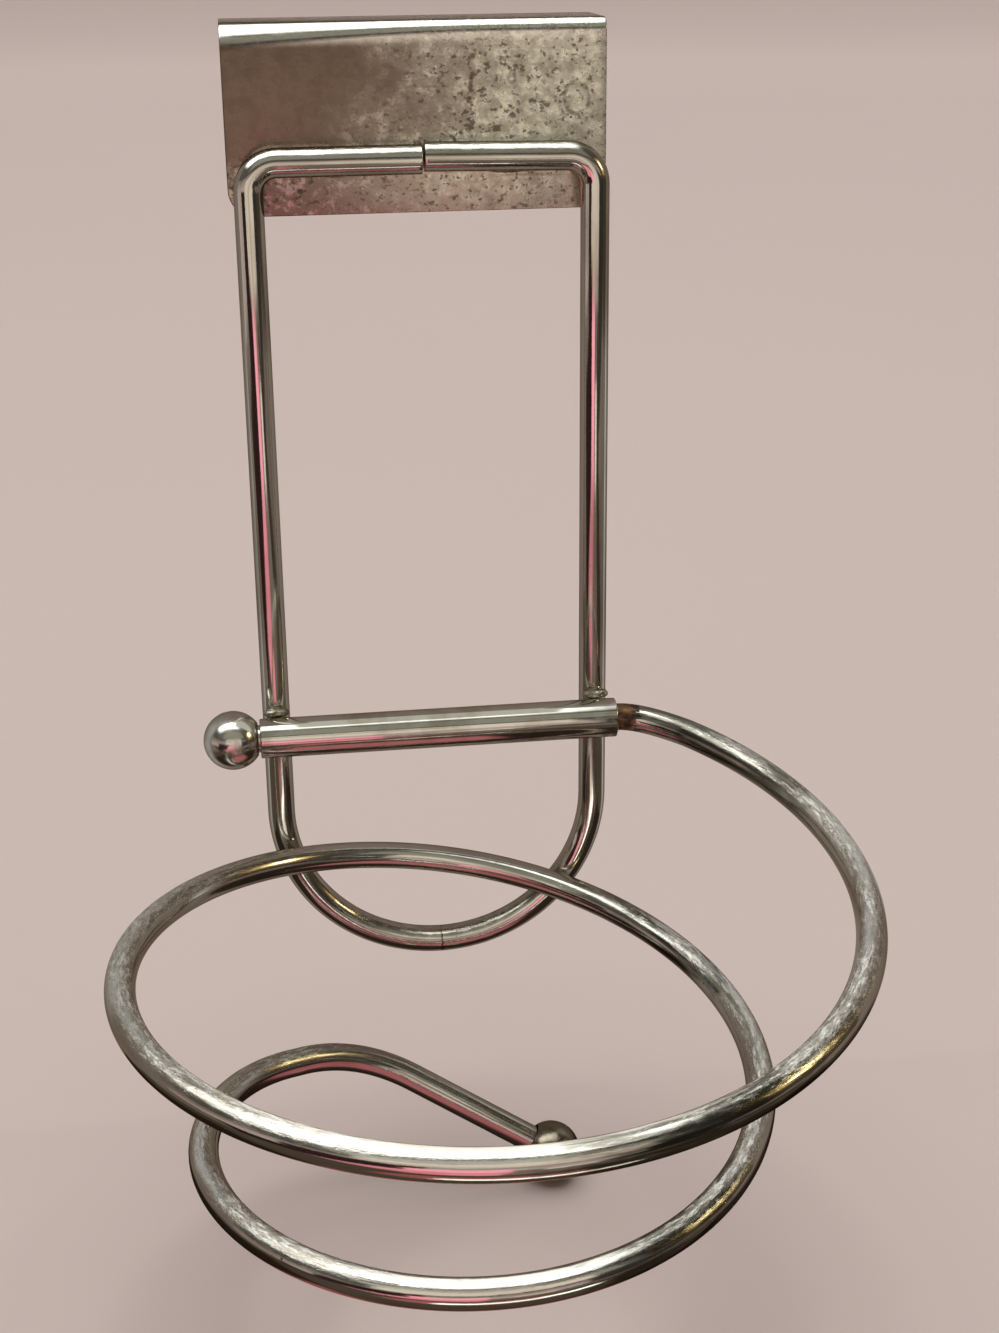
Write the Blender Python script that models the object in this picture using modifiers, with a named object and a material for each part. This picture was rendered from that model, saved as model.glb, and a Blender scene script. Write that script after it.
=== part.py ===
"""Hair dryer holder: a sheet hook for a panel's top edge, a bent rod frame and a spiral cradle on a hinge.

Metres, +Z up, -Y towards the user. The origin is the middle of the hook's seat,
which rests on the panel's top edge. Angles are in radians and turns in whole circles.
"""

import math

import bmesh
import bpy
import numpy as np
from mathutils import Vector

# Rod stock and clearances
ROD_DIAMETER = 0.005
TOUCH_GAP = 0.0003
FIT_GAP = 0.0003

# Hook, bent from sheet
PANEL_THICKNESS = 0.018
PANEL_PLAY = 0.0004
SHEET_THICKNESS = 0.0012
HOOK_WIDTH = 0.0648
HOOK_OFFSET = -0.0005
HOOK_BEND_RADIUS = 0.0015
HOOK_CORNER_RADIUS = 0.0045
BAR_BELOW_SEAT = 0.021
LEG_BELOW_BAR = 0.0092
BACK_LEG_LENGTH = 0.0302

# Frame, one bent rod whose ends butt in the middle of its top bar
FRAME_WIDTH = 0.059
FRAME_CORNER_RADIUS = 0.0048
TUBE_BELOW_BAR = 0.101
UPRIGHT_BELOW_TUBE = 0.0173
SEAM_GAP = 0.0004
SEAM_STEP = 0.0004

# Hinge tube across the frame's front
TUBE_WALL = 0.0008
TUBE_OVERHANG = 0.0007
TUBE_CHAMFER = 0.00025

# Balls on the spiral rod's two ends
BALL_DIAMETER = 0.0107
BALL_PLAY = 0.0003

# Spiral cradle: radius at six turns, counted from the back and clockwise from above, round an axis
# that drifts with each turn
START_TURN = 0.1234
FRONT_TURN = 0.4
LEFT_TURN = 0.75
BACK_TURN = 1.1
LOWER_TURN = 1.45
END_TURN = 1.8273
START_RADIUS = 0.06911
FRONT_RADIUS = 0.06889
LEFT_RADIUS = 0.04828
BACK_RADIUS = 0.05111
LOWER_RADIUS = 0.05722
END_RADIUS = 0.0284
DRIFT_ACROSS = 0.00391
DRIFT_BACK = 0.00905
DROP_PER_TURN = 0.04022
DROP_EASING = 0.0032
LEAN_ACROSS = -0.0716
LEAN_BACK = 0.0781
BEND_OVERHANG = 0.0045
BEND_REACH = 0.004
TAIL_REACH = 0.013
TAIL_LENGTH = 0.043
TAIL_HEADING = math.radians(-9.0)
TAIL_DIP = math.radians(31.4)

# Weld beads, as half lengths across, back and up
TUBE_BEAD = (0.0031, 0.0024, 0.0023)
PLATE_BEAD = (0.0045, 0.001, 0.00115)

# Facets
ROD_RESOLUTION = 4
CORNER_STEPS = 6
BOTTOM_STEPS = 28
STEPS_PER_TURN = 48
BEND_STEPS = 6
ROUND_STEPS = 32
BALL_RINGS = 14
BEAD_SEGMENTS = 20

# Sizes that follow from those above
rod_radius = ROD_DIAMETER / 2
bore_radius = rod_radius + FIT_GAP
tube_radius = bore_radius + TUBE_WALL
ball_radius = BALL_DIAMETER / 2
tube_length = FRAME_WIDTH + ROD_DIAMETER + 2 * TUBE_OVERHANG
slot_half = (PANEL_THICKNESS + PANEL_PLAY) / 2
plate_front = -slot_half - SHEET_THICKNESS
frame_y = plate_front - TOUCH_GAP - rod_radius
bar_z = -BAR_BELOW_SEAT
tube_y = frame_y - rod_radius - TOUCH_GAP - tube_radius
tube_z = bar_z - TUBE_BELOW_BAR
bottom_z = tube_z - UPRIGHT_BELOW_TUBE
ball_mouth = math.sqrt(ball_radius**2 - bore_radius**2)
ball_x = -(tube_length / 2 + BALL_PLAY + ball_mouth)


def clear_scene():
    """Remove everything that the scene holds."""
    for obj in list(bpy.data.objects):
        bpy.data.objects.remove(obj, do_unlink=True)


def new_collection(name):
    """Make a collection in the scene."""
    collection = bpy.data.collections.new(name)
    bpy.context.scene.collection.children.link(collection)
    return collection


def metal(name, colour, roughness):
    """Make a metal finish."""
    material = bpy.data.materials.new(name)
    material.use_nodes = True
    shader = material.node_tree.nodes["Principled BSDF"]
    shader.inputs["Base Color"].default_value = (*colour, 1.0)
    shader.inputs["Metallic"].default_value = 1.0
    shader.inputs["Roughness"].default_value = roughness
    return material


def add_object(name, data, collection, material=None, location=(0, 0, 0), parent=None):
    """Place new data in the scene under its node's name."""
    obj = bpy.data.objects.new(name, data)
    obj.location = location
    obj.parent = parent
    if material:
        data.materials.append(material)
    collection.objects.link(obj)
    return obj


def arc(centre, radius, start, end, steps):
    """Points on an arc, as pairs, from one angle to another."""
    angles = np.linspace(start, end, steps + 1)
    return [(centre[0] + radius * math.cos(a), centre[1] + radius * math.sin(a)) for a in angles]


def rounded_corner(before, corner, after, steps):
    """Points on the smooth bend that leaves and joins the two legs of a corner along them."""
    share = np.linspace(0, 1, steps + 1)[:, None]
    return (1 - share) ** 2 * before + 2 * share * (1 - share) * corner + share**2 * after


def rod_curve(name, points):
    """A round rod along points, with closed ends."""
    curve = bpy.data.curves.new(name, "CURVE")
    curve.dimensions = "3D"
    curve.bevel_depth = rod_radius
    curve.bevel_resolution = ROD_RESOLUTION
    curve.use_fill_caps = True
    spline = curve.splines.new("POLY")
    spline.points.add(len(points) - 1)
    for point, place in zip(spline.points, points):
        point.co = (*place, 1.0)
    return curve


def turned_mesh(name, profile, closed):
    """A profile in the XZ plane, to be turned about Z."""
    mesh = bpy.data.meshes.new(name)
    edges = [(i, i + 1) for i in range(len(profile) - 1)]
    if closed:
        edges.append((len(profile) - 1, 0))
    mesh.from_pydata([(x, 0.0, z) for x, z in profile], edges, [])
    return mesh


def turn(obj):
    """Turn an object's profile about its own Z axis."""
    screw = obj.modifiers.new("Turned", "SCREW")
    screw.axis = "Z"
    screw.steps = ROUND_STEPS
    screw.render_steps = ROUND_STEPS
    screw.use_merge_vertices = True
    screw.merge_threshold = 0.00001
    screw.use_smooth_shade = True
    return obj


def frame_path():
    """Centre line of the frame's rod in X and Z, from the seam round to the seam again."""
    half = FRAME_WIDTH / 2
    corner_x = half - FRAME_CORNER_RADIUS
    corner_z = bar_z - FRAME_CORNER_RADIUS
    right = arc((corner_x, corner_z), FRAME_CORNER_RADIUS, math.pi / 2, 0, CORNER_STEPS)
    bottom = arc((0, bottom_z), half, 0, -math.pi, BOTTOM_STEPS)
    left = arc((-corner_x, corner_z), FRAME_CORNER_RADIUS, math.pi, math.pi / 2, CORNER_STEPS)
    seam_right = (SEAM_GAP / 2, bar_z + SEAM_STEP)
    seam_left = (-SEAM_GAP / 2, bar_z)
    return [(x, frame_y, z) for x, z in [seam_right, *right, *bottom, *left, seam_left]]


def spiral_loops():
    """Centre line of the cradle's loops, from the bend beside the tube, as seen from the hinge's middle."""
    steps = round((END_TURN - START_TURN) * STEPS_PER_TURN)
    turns = np.linspace(START_TURN, END_TURN, steps + 1)
    known_turns = (START_TURN, FRONT_TURN, LEFT_TURN, BACK_TURN, LOWER_TURN, END_TURN)
    known_radii = (START_RADIUS, FRONT_RADIUS, LEFT_RADIUS, BACK_RADIUS, LOWER_RADIUS, END_RADIUS)
    radius = np.polyval(np.polyfit(known_turns, known_radii, len(known_turns) - 1), turns)
    angle = math.pi / 2 - 2 * math.pi * turns
    across = radius * np.cos(angle)
    back = radius * np.sin(angle)
    drop = DROP_PER_TURN * turns - DROP_EASING * turns**2
    rise = LEAN_ACROSS * across + LEAN_BACK * back - drop
    loops = np.stack([across + DRIFT_ACROSS * turns, back + DRIFT_BACK * turns, rise], axis=1)
    return loops - loops[0] + np.array([tube_length / 2 + BEND_OVERHANG, 0, 0])


def spiral_path():
    """Centre line of the whole spiral rod at its drawn angle, and the direction of its straight tail."""
    loops = spiral_loops()
    ball_end = np.array([ball_x + FIT_GAP, 0, 0])
    tube_side = loops[0] - np.array([BEND_REACH, 0, 0])
    lengths = np.linalg.norm(loops - loops[0], axis=1)
    first_kept = int(np.argmax(lengths >= BEND_REACH))
    start_bend = rounded_corner(tube_side, loops[0], loops[first_kept], BEND_STEPS)
    heading = (loops[-1] - loops[-2]) / np.linalg.norm(loops[-1] - loops[-2])
    tail_corner = loops[-1] + heading * TAIL_REACH
    flat = math.cos(TAIL_DIP)
    tail = np.array([flat * math.cos(TAIL_HEADING), flat * math.sin(TAIL_HEADING), -math.sin(TAIL_DIP)])
    tail_bend = rounded_corner(loops[-1], tail_corner, tail_corner + tail * TAIL_REACH, BEND_STEPS)
    tip = tail_corner + tail * (TAIL_LENGTH - FIT_GAP)
    path = np.vstack([ball_end, start_bend, loops[first_kept + 1 : -1], tail_bend, tip])
    return path, tail


def swung(points, angle):
    """Points turned about the hinge's axis, the front going up."""
    cos, sin = math.cos(angle), math.sin(angle)
    back, up = points[..., 1], points[..., 2]
    return np.stack([points[..., 0], cos * back + sin * up, cos * up - sin * back], axis=-1)


def filled_in(points, spacing):
    """Points along a path with more between them, no further apart than the spacing."""
    dense = []
    for start, end in zip(points[:-1], points[1:]):
        count = max(1, math.ceil(np.linalg.norm(end - start) / spacing))
        dense.extend(start + (end - start) * k / count for k in range(count))
    return np.array([*dense, points[-1]])


def rest_angle(path):
    """The angle at which the falling spiral meets the frame, with the touch gap left."""
    spacing = ROD_DIAMETER / 5
    frame = filled_in(np.array(frame_path()), spacing) - np.array([0, tube_y, tube_z])
    loops = filled_in(path[path[:, 2] < -ROD_DIAMETER], spacing)

    def gap(angle):
        apart = swung(loops, angle)[:, None, :] - frame[None, :, :]
        return np.sqrt((apart**2).sum(axis=-1)).min() - ROD_DIAMETER

    clear = math.radians(20)
    step = math.radians(1)
    while gap(clear - step) > TOUCH_GAP and clear > -math.radians(40):
        clear -= step
    met = clear - step
    for _ in range(24):
        middle = (clear + met) / 2
        if gap(middle) > TOUCH_GAP:
            clear = middle
        else:
            met = middle
    print(f"spiral rests at {math.degrees(clear):.2f} degrees, {gap(clear) * 1000:.3f} mm from the frame")
    return clear


def print_least_gap(path):
    """Say how near the spiral's turns come to each other."""
    dense = filled_in(path, ROD_DIAMETER / 2)
    along = np.concatenate([[0], np.cumsum(np.linalg.norm(np.diff(dense, axis=0), axis=1))])
    apart = np.linalg.norm(dense[:, None, :] - dense[None, :, :], axis=-1)
    far_along = np.abs(along[:, None] - along[None, :]) > 8 * ROD_DIAMETER
    print(f"spiral's least gap to itself {(apart[far_along].min() - ROD_DIAMETER) * 1000:.2f} mm")


def hook_outline():
    """Middle of the sheet in Y and Z, from the front leg's foot over the seat to the back leg's foot."""
    bend = HOOK_BEND_RADIUS + SHEET_THICKNESS / 2
    side = slot_half + SHEET_THICKNESS / 2
    top = SHEET_THICKNESS / 2
    front = arc((-side + bend, top - bend), bend, math.pi, math.pi / 2, CORNER_STEPS)
    back = arc((side - bend, top - bend), bend, math.pi / 2, 0, CORNER_STEPS)
    front_foot = (-side, bar_z - LEG_BELOW_BAR)
    back_foot = (side, -BACK_LEG_LENGTH)
    return [front_foot, *front, *back, back_foot]


def make_hook(collection):
    """The sheet hook: a bent strip given its thickness, its four free corners rounded."""
    shape = bmesh.new()
    outline = hook_outline()
    row = [shape.verts.new((HOOK_OFFSET - HOOK_WIDTH / 2, y, z)) for y, z in outline]
    edges = [shape.edges.new(pair) for pair in zip(row[:-1], row[1:])]
    swept = bmesh.ops.extrude_edge_only(shape, edges=edges)["geom"]
    moved = [item for item in swept if isinstance(item, bmesh.types.BMVert)]
    bmesh.ops.translate(shape, verts=moved, vec=(HOOK_WIDTH, 0, 0))
    feet = [vert for vert in shape.verts if len(vert.link_edges) == 2]
    bmesh.ops.bevel(
        shape, geom=feet, offset=HOOK_CORNER_RADIUS, segments=CORNER_STEPS, profile=0.5, affect="VERTICES"
    )
    bmesh.ops.recalc_face_normals(shape, faces=shape.faces)
    mesh = bpy.data.meshes.new("hook_plate")
    shape.to_mesh(mesh)
    shape.free()
    hook = add_object("hook_plate", mesh, collection, metal("worn_plate", (0.56, 0.51, 0.47), 0.34))
    sheet = hook.modifiers.new("Sheet", "SOLIDIFY")
    sheet.thickness = SHEET_THICKNESS
    sheet.offset = 0
    sheet.use_even_offset = True
    return hook


def make_frame(collection):
    """The frame: one rod bent to a loop with a round bottom."""
    chrome = metal("frame_chrome", (0.70, 0.67, 0.64), 0.16)
    return add_object("frame_rod", rod_curve("frame_rod", frame_path()), collection, chrome)


def make_tube(collection):
    """The hinge's sleeve, a turned tube that lies along X."""
    end = tube_length / 2
    profile = [
        (tube_radius, end - TUBE_CHAMFER),
        (tube_radius, -end + TUBE_CHAMFER),
        (tube_radius - TUBE_CHAMFER, -end),
        (bore_radius, -end),
        (bore_radius, end),
        (tube_radius - TUBE_CHAMFER, end),
    ]
    chrome = metal("tube_chrome", (0.71, 0.69, 0.66), 0.18)
    mesh = turned_mesh("hinge_tube", profile, closed=True)
    tube = add_object("hinge_tube", mesh, collection, chrome, (0, tube_y, tube_z))
    tube.rotation_euler = (0, math.pi / 2, 0)
    return turn(tube)


def ball_profile():
    """Half section of a ball with a blind socket for the rod's end, its mouth at -Z."""
    mouth_angle = math.asin(bore_radius / ball_radius)
    angles = np.linspace(0, math.pi - mouth_angle, BALL_RINGS + 1)
    outside = [(ball_radius * math.sin(a), ball_radius * math.cos(a)) for a in angles]
    outside[0] = (0.0, ball_radius)
    return [*outside, (bore_radius, 0.0), (0.0, 0.0)]


def make_ball(name, place, outward, collection, hinge):
    """A ball on a rod's end, its socket facing back along the rod."""
    chrome = metal(f"{name}_chrome", (0.72, 0.70, 0.67), 0.12)
    mesh = turned_mesh(name, ball_profile(), closed=False)
    ball = add_object(name, mesh, collection, chrome, tuple(place), hinge)
    ball.rotation_euler = Vector(outward).to_track_quat("Z", "Y").to_euler()
    return turn(ball)


def make_cutter(name, collection, build):
    """A hidden body that clears the space of a weld's neighbours."""
    shape = bmesh.new()
    build(shape)
    mesh = bpy.data.meshes.new(name)
    shape.to_mesh(mesh)
    shape.free()
    cutter = add_object(name, mesh, collection)
    cutter.hide_render = True
    cutter.display_type = "WIRE"
    return cutter


def round_cutter(name, collection, radius, length, place, along_x):
    """A round cutter along X or along Z."""

    def build(shape):
        made = bmesh.ops.create_cone(
            shape, cap_ends=True, segments=ROUND_STEPS, radius1=radius, radius2=radius, depth=length
        )["verts"]
        if along_x:
            turned = Vector((0, 0, 1)).rotation_difference(Vector((1, 0, 0))).to_matrix()
            bmesh.ops.rotate(shape, verts=made, cent=(0, 0, 0), matrix=turned)
        bmesh.ops.translate(shape, verts=made, vec=place)

    return make_cutter(name, collection, build)


def slab_cutter(name, collection, size, place):
    """A box cutter."""

    def build(shape):
        made = bmesh.ops.create_cube(shape, size=1.0)["verts"]
        bmesh.ops.scale(shape, verts=made, vec=size)
        bmesh.ops.translate(shape, verts=made, vec=place)

    return make_cutter(name, collection, build)


def make_bead(name, half_sizes, place, cutters, collection):
    """A weld bead: a flattened ball cut clear of the pieces that it joins."""
    shape = bmesh.new()
    made = bmesh.ops.create_uvsphere(
        shape, u_segments=BEAD_SEGMENTS, v_segments=BEAD_SEGMENTS // 2, radius=1.0
    )["verts"]
    bmesh.ops.scale(shape, verts=made, vec=half_sizes)
    mesh = bpy.data.meshes.new(name)
    shape.to_mesh(mesh)
    shape.free()
    bead = add_object(name, mesh, collection, metal(f"{name}_metal", (0.45, 0.41, 0.37), 0.4), place)
    for cutter in cutters:
        cut = bead.modifiers.new(cutter.name, "BOOLEAN")
        cut.operation = "DIFFERENCE"
        cut.object = cutter
    return bead


def make_tube_welds(collection, cutters):
    """Beads in the notch above the tube, where each upright passes behind it."""
    tube_space = round_cutter(
        "tube_space", cutters, tube_radius + TOUCH_GAP, 2 * tube_length, (0, tube_y, tube_z), True
    )
    bead_y = frame_y - rod_radius - TUBE_BEAD[1] / 2
    bead_z = tube_z + tube_radius
    for side, x in (("left", -FRAME_WIDTH / 2), ("right", FRAME_WIDTH / 2)):
        upright_space = round_cutter(
            f"upright_space_{side}", cutters, rod_radius + TOUCH_GAP, 6 * tube_radius, (x, frame_y, tube_z), False
        )
        make_bead(
            f"tube_weld_{side}", TUBE_BEAD, (x, bead_y, bead_z), (tube_space, upright_space), collection
        )


def make_plate_welds(collection, cutters):
    """Beads under the top bar, where it lies along the hook's front leg."""
    bar_space = round_cutter(
        "bar_space", cutters, rod_radius + TOUCH_GAP, 2 * FRAME_WIDTH, (0, frame_y, bar_z), True
    )
    slab = 4 * ROD_DIAMETER
    plate_space = slab_cutter(
        "plate_space",
        cutters,
        (2 * HOOK_WIDTH, slab, 4 * slab),
        (0, plate_front - TOUCH_GAP + slab / 2, bar_z),
    )
    bead_y = plate_front - TOUCH_GAP - PLATE_BEAD[1] / 2
    bead_z = bar_z - rod_radius + TOUCH_GAP
    for side, x in (("left", -FRAME_WIDTH / 4), ("right", FRAME_WIDTH / 4)):
        make_bead(
            f"plate_weld_{side}", PLATE_BEAD, (x, bead_y, bead_z), (bar_space, plate_space), collection
        )


def make_spiral(collection):
    """The cradle: its rod, and the ball on each end, hung on the hinge's axis."""
    hinge = add_object("spiral_hinge", None, collection, location=(0, tube_y, tube_z))
    drawn, drawn_tail = spiral_path()
    angle = rest_angle(drawn)
    path = swung(drawn, angle)
    tail = swung(drawn_tail, angle)
    print_least_gap(path)
    chrome = metal("spiral_chrome", (0.70, 0.68, 0.65), 0.2)
    add_object("spiral_rod", rod_curve("spiral_rod", path), collection, chrome, parent=hinge)
    make_ball("hinge_ball", (ball_x, 0, 0), (-1, 0, 0), collection, hinge)
    make_ball("tip_ball", path[-1] + tail * FIT_GAP, tail, collection, hinge)


def main():
    """Build the holder."""
    clear_scene()
    parts = new_collection("hair_dryer_holder")
    cutters = new_collection("cutters")
    make_hook(parts)
    make_frame(parts)
    make_tube(parts)
    make_tube_welds(parts, cutters)
    make_plate_welds(parts, cutters)
    make_spiral(parts)


main()
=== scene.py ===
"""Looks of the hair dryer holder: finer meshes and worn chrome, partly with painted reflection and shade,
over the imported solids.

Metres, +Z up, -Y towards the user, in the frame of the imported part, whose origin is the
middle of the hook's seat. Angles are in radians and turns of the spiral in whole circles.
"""

import logging
import math
from collections.abc import Callable
from dataclasses import dataclass, field
from enum import Enum

import bpy
import numpy as np
from mathutils import Matrix, Vector


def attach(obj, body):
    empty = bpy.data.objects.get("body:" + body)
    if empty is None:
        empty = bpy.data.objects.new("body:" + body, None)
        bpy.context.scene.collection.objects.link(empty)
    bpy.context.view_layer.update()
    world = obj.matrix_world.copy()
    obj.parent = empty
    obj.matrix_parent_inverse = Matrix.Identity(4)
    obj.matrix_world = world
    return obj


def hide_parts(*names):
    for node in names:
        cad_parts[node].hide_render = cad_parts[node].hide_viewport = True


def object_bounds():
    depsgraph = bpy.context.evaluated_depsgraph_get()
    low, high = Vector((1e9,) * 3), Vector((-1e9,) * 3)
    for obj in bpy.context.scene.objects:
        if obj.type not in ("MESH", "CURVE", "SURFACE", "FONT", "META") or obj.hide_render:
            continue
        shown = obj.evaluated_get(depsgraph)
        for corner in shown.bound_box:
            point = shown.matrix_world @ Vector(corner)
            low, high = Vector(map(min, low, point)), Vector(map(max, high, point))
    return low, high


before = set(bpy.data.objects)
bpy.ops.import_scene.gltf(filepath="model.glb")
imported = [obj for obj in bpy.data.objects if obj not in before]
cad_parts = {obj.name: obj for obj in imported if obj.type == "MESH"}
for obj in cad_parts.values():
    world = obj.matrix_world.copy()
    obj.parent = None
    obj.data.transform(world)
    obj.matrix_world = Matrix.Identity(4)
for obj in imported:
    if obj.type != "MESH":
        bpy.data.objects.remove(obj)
CAD_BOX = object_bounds()

OBJECT_MIDDLE = (CAD_BOX[0] + CAD_BOX[1]) / 2

# Places closer together than this count as one
NEAR = 1e-5

LOG = logging.getLogger("holder")

Pair = tuple[float, float]
Colour = tuple[float, float, float]
Place = tuple[float, float, float]
Socket = bpy.types.NodeSocket
Number = Socket | float
Thing = bpy.types.Object


class Body(Enum):
    """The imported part's two moving bodies."""

    HANGER = "hanger"
    SPIRAL = "spiral"


class Slot(Enum):
    """The record's material slots."""

    HOOK = "hook_sheet"
    FRAME = "frame_chrome"
    TUBE = "tube_chrome"
    WELD = "weld_metal"
    SPIRAL = "spiral_chrome"
    BALL = "ball_chrome"


class Element(Enum):
    """What an edit-mode selection picks."""

    VERT = "VERT"
    EDGE = "EDGE"
    FACE = "FACE"


class Weld(Enum):
    """The four weld beads, by the node that each one stands for."""

    TUBE_LEFT = "tube_weld_left"
    TUBE_RIGHT = "tube_weld_right"
    PLATE_LEFT = "plate_weld_left"
    PLATE_RIGHT = "plate_weld_right"

    @property
    def on_tube(self) -> bool:
        """Whether the bead joins the frame to the tube, and not to the hook."""
        return self in (Weld.TUBE_LEFT, Weld.TUBE_RIGHT)

    @property
    def side(self) -> int:
        """-1 on the left and 1 on the right."""
        return -1 if self in (Weld.TUBE_LEFT, Weld.PLATE_LEFT) else 1


# Hand tools


def deselect() -> None:
    """Leave edit mode and let go of everything."""
    if bpy.context.mode != "OBJECT":
        bpy.ops.object.mode_set(mode="OBJECT")
    bpy.ops.object.select_all(action="DESELECT")


def hold(piece: Thing) -> None:
    """Make a piece the only one that is selected, in object mode.

    Args:
        piece: the mesh object.
    """
    deselect()
    bpy.context.view_layer.objects.active = piece
    piece.select_set(True)


def take(name: str) -> Thing:
    """Name the primitive that was just added, and apply its place to its mesh.

    Args:
        name: the piece's name.

    Returns:
        The object, at the origin, unturned and unscaled.
    """
    piece = bpy.context.object
    piece.name = name
    piece.data.name = name
    bpy.ops.object.transform_apply(location=True, rotation=True, scale=True)
    return piece


def add_bar(name: str, sides: int, radius: float, length: float, middle: Place) -> Thing:
    """Add a round bar that lies along X.

    Args:
        name: the piece's name.
        sides: the flats round it.
        radius: its radius.
        length: its length.
        middle: its middle.

    Returns:
        The bar.
    """
    deselect()
    bpy.ops.mesh.primitive_cylinder_add(
        vertices=sides,
        radius=radius,
        depth=length,
        end_fill_type="NGON",
        location=middle,
        rotation=(0, math.pi / 2, 0),
    )
    return take(name)


def pick(piece: Thing, element: Element, test: Callable[..., bool]) -> None:
    """Select vertices, edges or faces in code and stay in edit mode.

    Args:
        piece: the mesh object, which is active.
        element: what is picked.
        test: takes a vertex's place, an edge's two places, or a face's middle and normal.
    """
    bpy.ops.object.mode_set(mode="EDIT")
    bpy.ops.mesh.select_mode(type=element.value)
    bpy.ops.mesh.select_all(action="DESELECT")
    bpy.ops.object.mode_set(mode="OBJECT")
    mesh = piece.data
    if element is Element.VERT:
        for vert in mesh.vertices:
            vert.select = test(vert.co)
    elif element is Element.EDGE:
        for edge in mesh.edges:
            edge.select = test(*(mesh.vertices[i].co for i in edge.vertices))
    else:
        for face in mesh.polygons:
            face.select = test(face.center, face.normal)
    bpy.ops.object.mode_set(mode="EDIT")


def ease_edges(size: float, segments: int = 3) -> None:
    """Round the picked edges over."""
    bpy.ops.mesh.bevel(offset=size, segments=segments, profile=0.5, affect="EDGES")


def face_outwards() -> None:
    """Turn every face of the mesh in edit mode outwards."""
    bpy.ops.mesh.select_all(action="SELECT")
    bpy.ops.mesh.normals_make_consistent(inside=False)


def finish_mesh(piece: Thing, smooth_angle: float = math.radians(35)) -> None:
    """Leave edit mode and shade the mesh smooth, apart from its sharp edges.

    Args:
        piece: the mesh object.
        smooth_angle: edges turning by more than this stay sharp.
    """
    hold(piece)
    bpy.ops.object.shade_smooth_by_angle(angle=smooth_angle)
    piece.select_set(False)


def apply_modifier(piece: Thing, kind: str, **settings: object) -> None:
    """Give a mesh one modifier and apply it.

    Args:
        piece: the mesh object.
        kind: Blender's name of the modifier's type.
        settings: the modifier's settings.
    """
    hold(piece)
    modifier = piece.modifiers.new(kind.title(), kind)
    for name, value in settings.items():
        setattr(modifier, name, value)
    bpy.ops.object.modifier_apply(modifier=modifier.name)
    piece.select_set(False)


def read_rows(source: bpy.types.bpy_prop_collection, name: str) -> np.ndarray:
    """Read a property of three numbers from every item of a mesh.

    Args:
        source: the items, such as the mesh's vertices.
        name: the property.

    Returns:
        The numbers, a row for each item.
    """
    found = np.empty(len(source) * 3, np.float32)
    source.foreach_get(name, found)
    return found.reshape(-1, 3)


def points_of(piece: Thing) -> np.ndarray:
    """The mesh's vertices as rows."""
    return read_rows(piece.data.vertices, "co")


def normals_of(piece: Thing) -> np.ndarray:
    """The mesh's vertex normals as rows."""
    return read_rows(piece.data.vertex_normals, "vector")


def smooth_step(value: np.ndarray, low: float, high: float) -> np.ndarray:
    """Ease from 0 at the low value to 1 at the high one.

    Args:
        value: the numbers to ease.
        low: where the result is 0.
        high: where the result is 1.

    Returns:
        The eased numbers.
    """
    share = np.clip((value - low) / (high - low), 0, 1)
    return share * share * (3 - 2 * share)


def keep_vectors(piece: Thing, name: str, rows: np.ndarray) -> None:
    """Store a vector for each vertex under a name that a finish reads."""
    kept = piece.data.attributes.new(name, "FLOAT_VECTOR", "POINT")
    kept.data.foreach_set("vector", rows.astype(np.float32).ravel())


def keep_values(piece: Thing, name: str, values: np.ndarray) -> None:
    """Store a number for each vertex under a name that a finish reads."""
    kept = piece.data.attributes.new(name, "FLOAT", "POINT")
    kept.data.foreach_set("value", values.astype(np.float32))


def fit_piece(piece: Thing, body: Body, slot: Slot, material: bpy.types.Material, *nodes: str) -> Thing:
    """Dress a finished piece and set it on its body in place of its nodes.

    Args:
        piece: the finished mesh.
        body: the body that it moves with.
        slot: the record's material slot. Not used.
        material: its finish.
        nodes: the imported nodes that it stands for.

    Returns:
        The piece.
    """
    piece.data.materials.clear()
    piece.data.materials.append(material)
    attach(piece, body.value)
    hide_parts(*nodes)
    return piece


# Finishes


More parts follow.
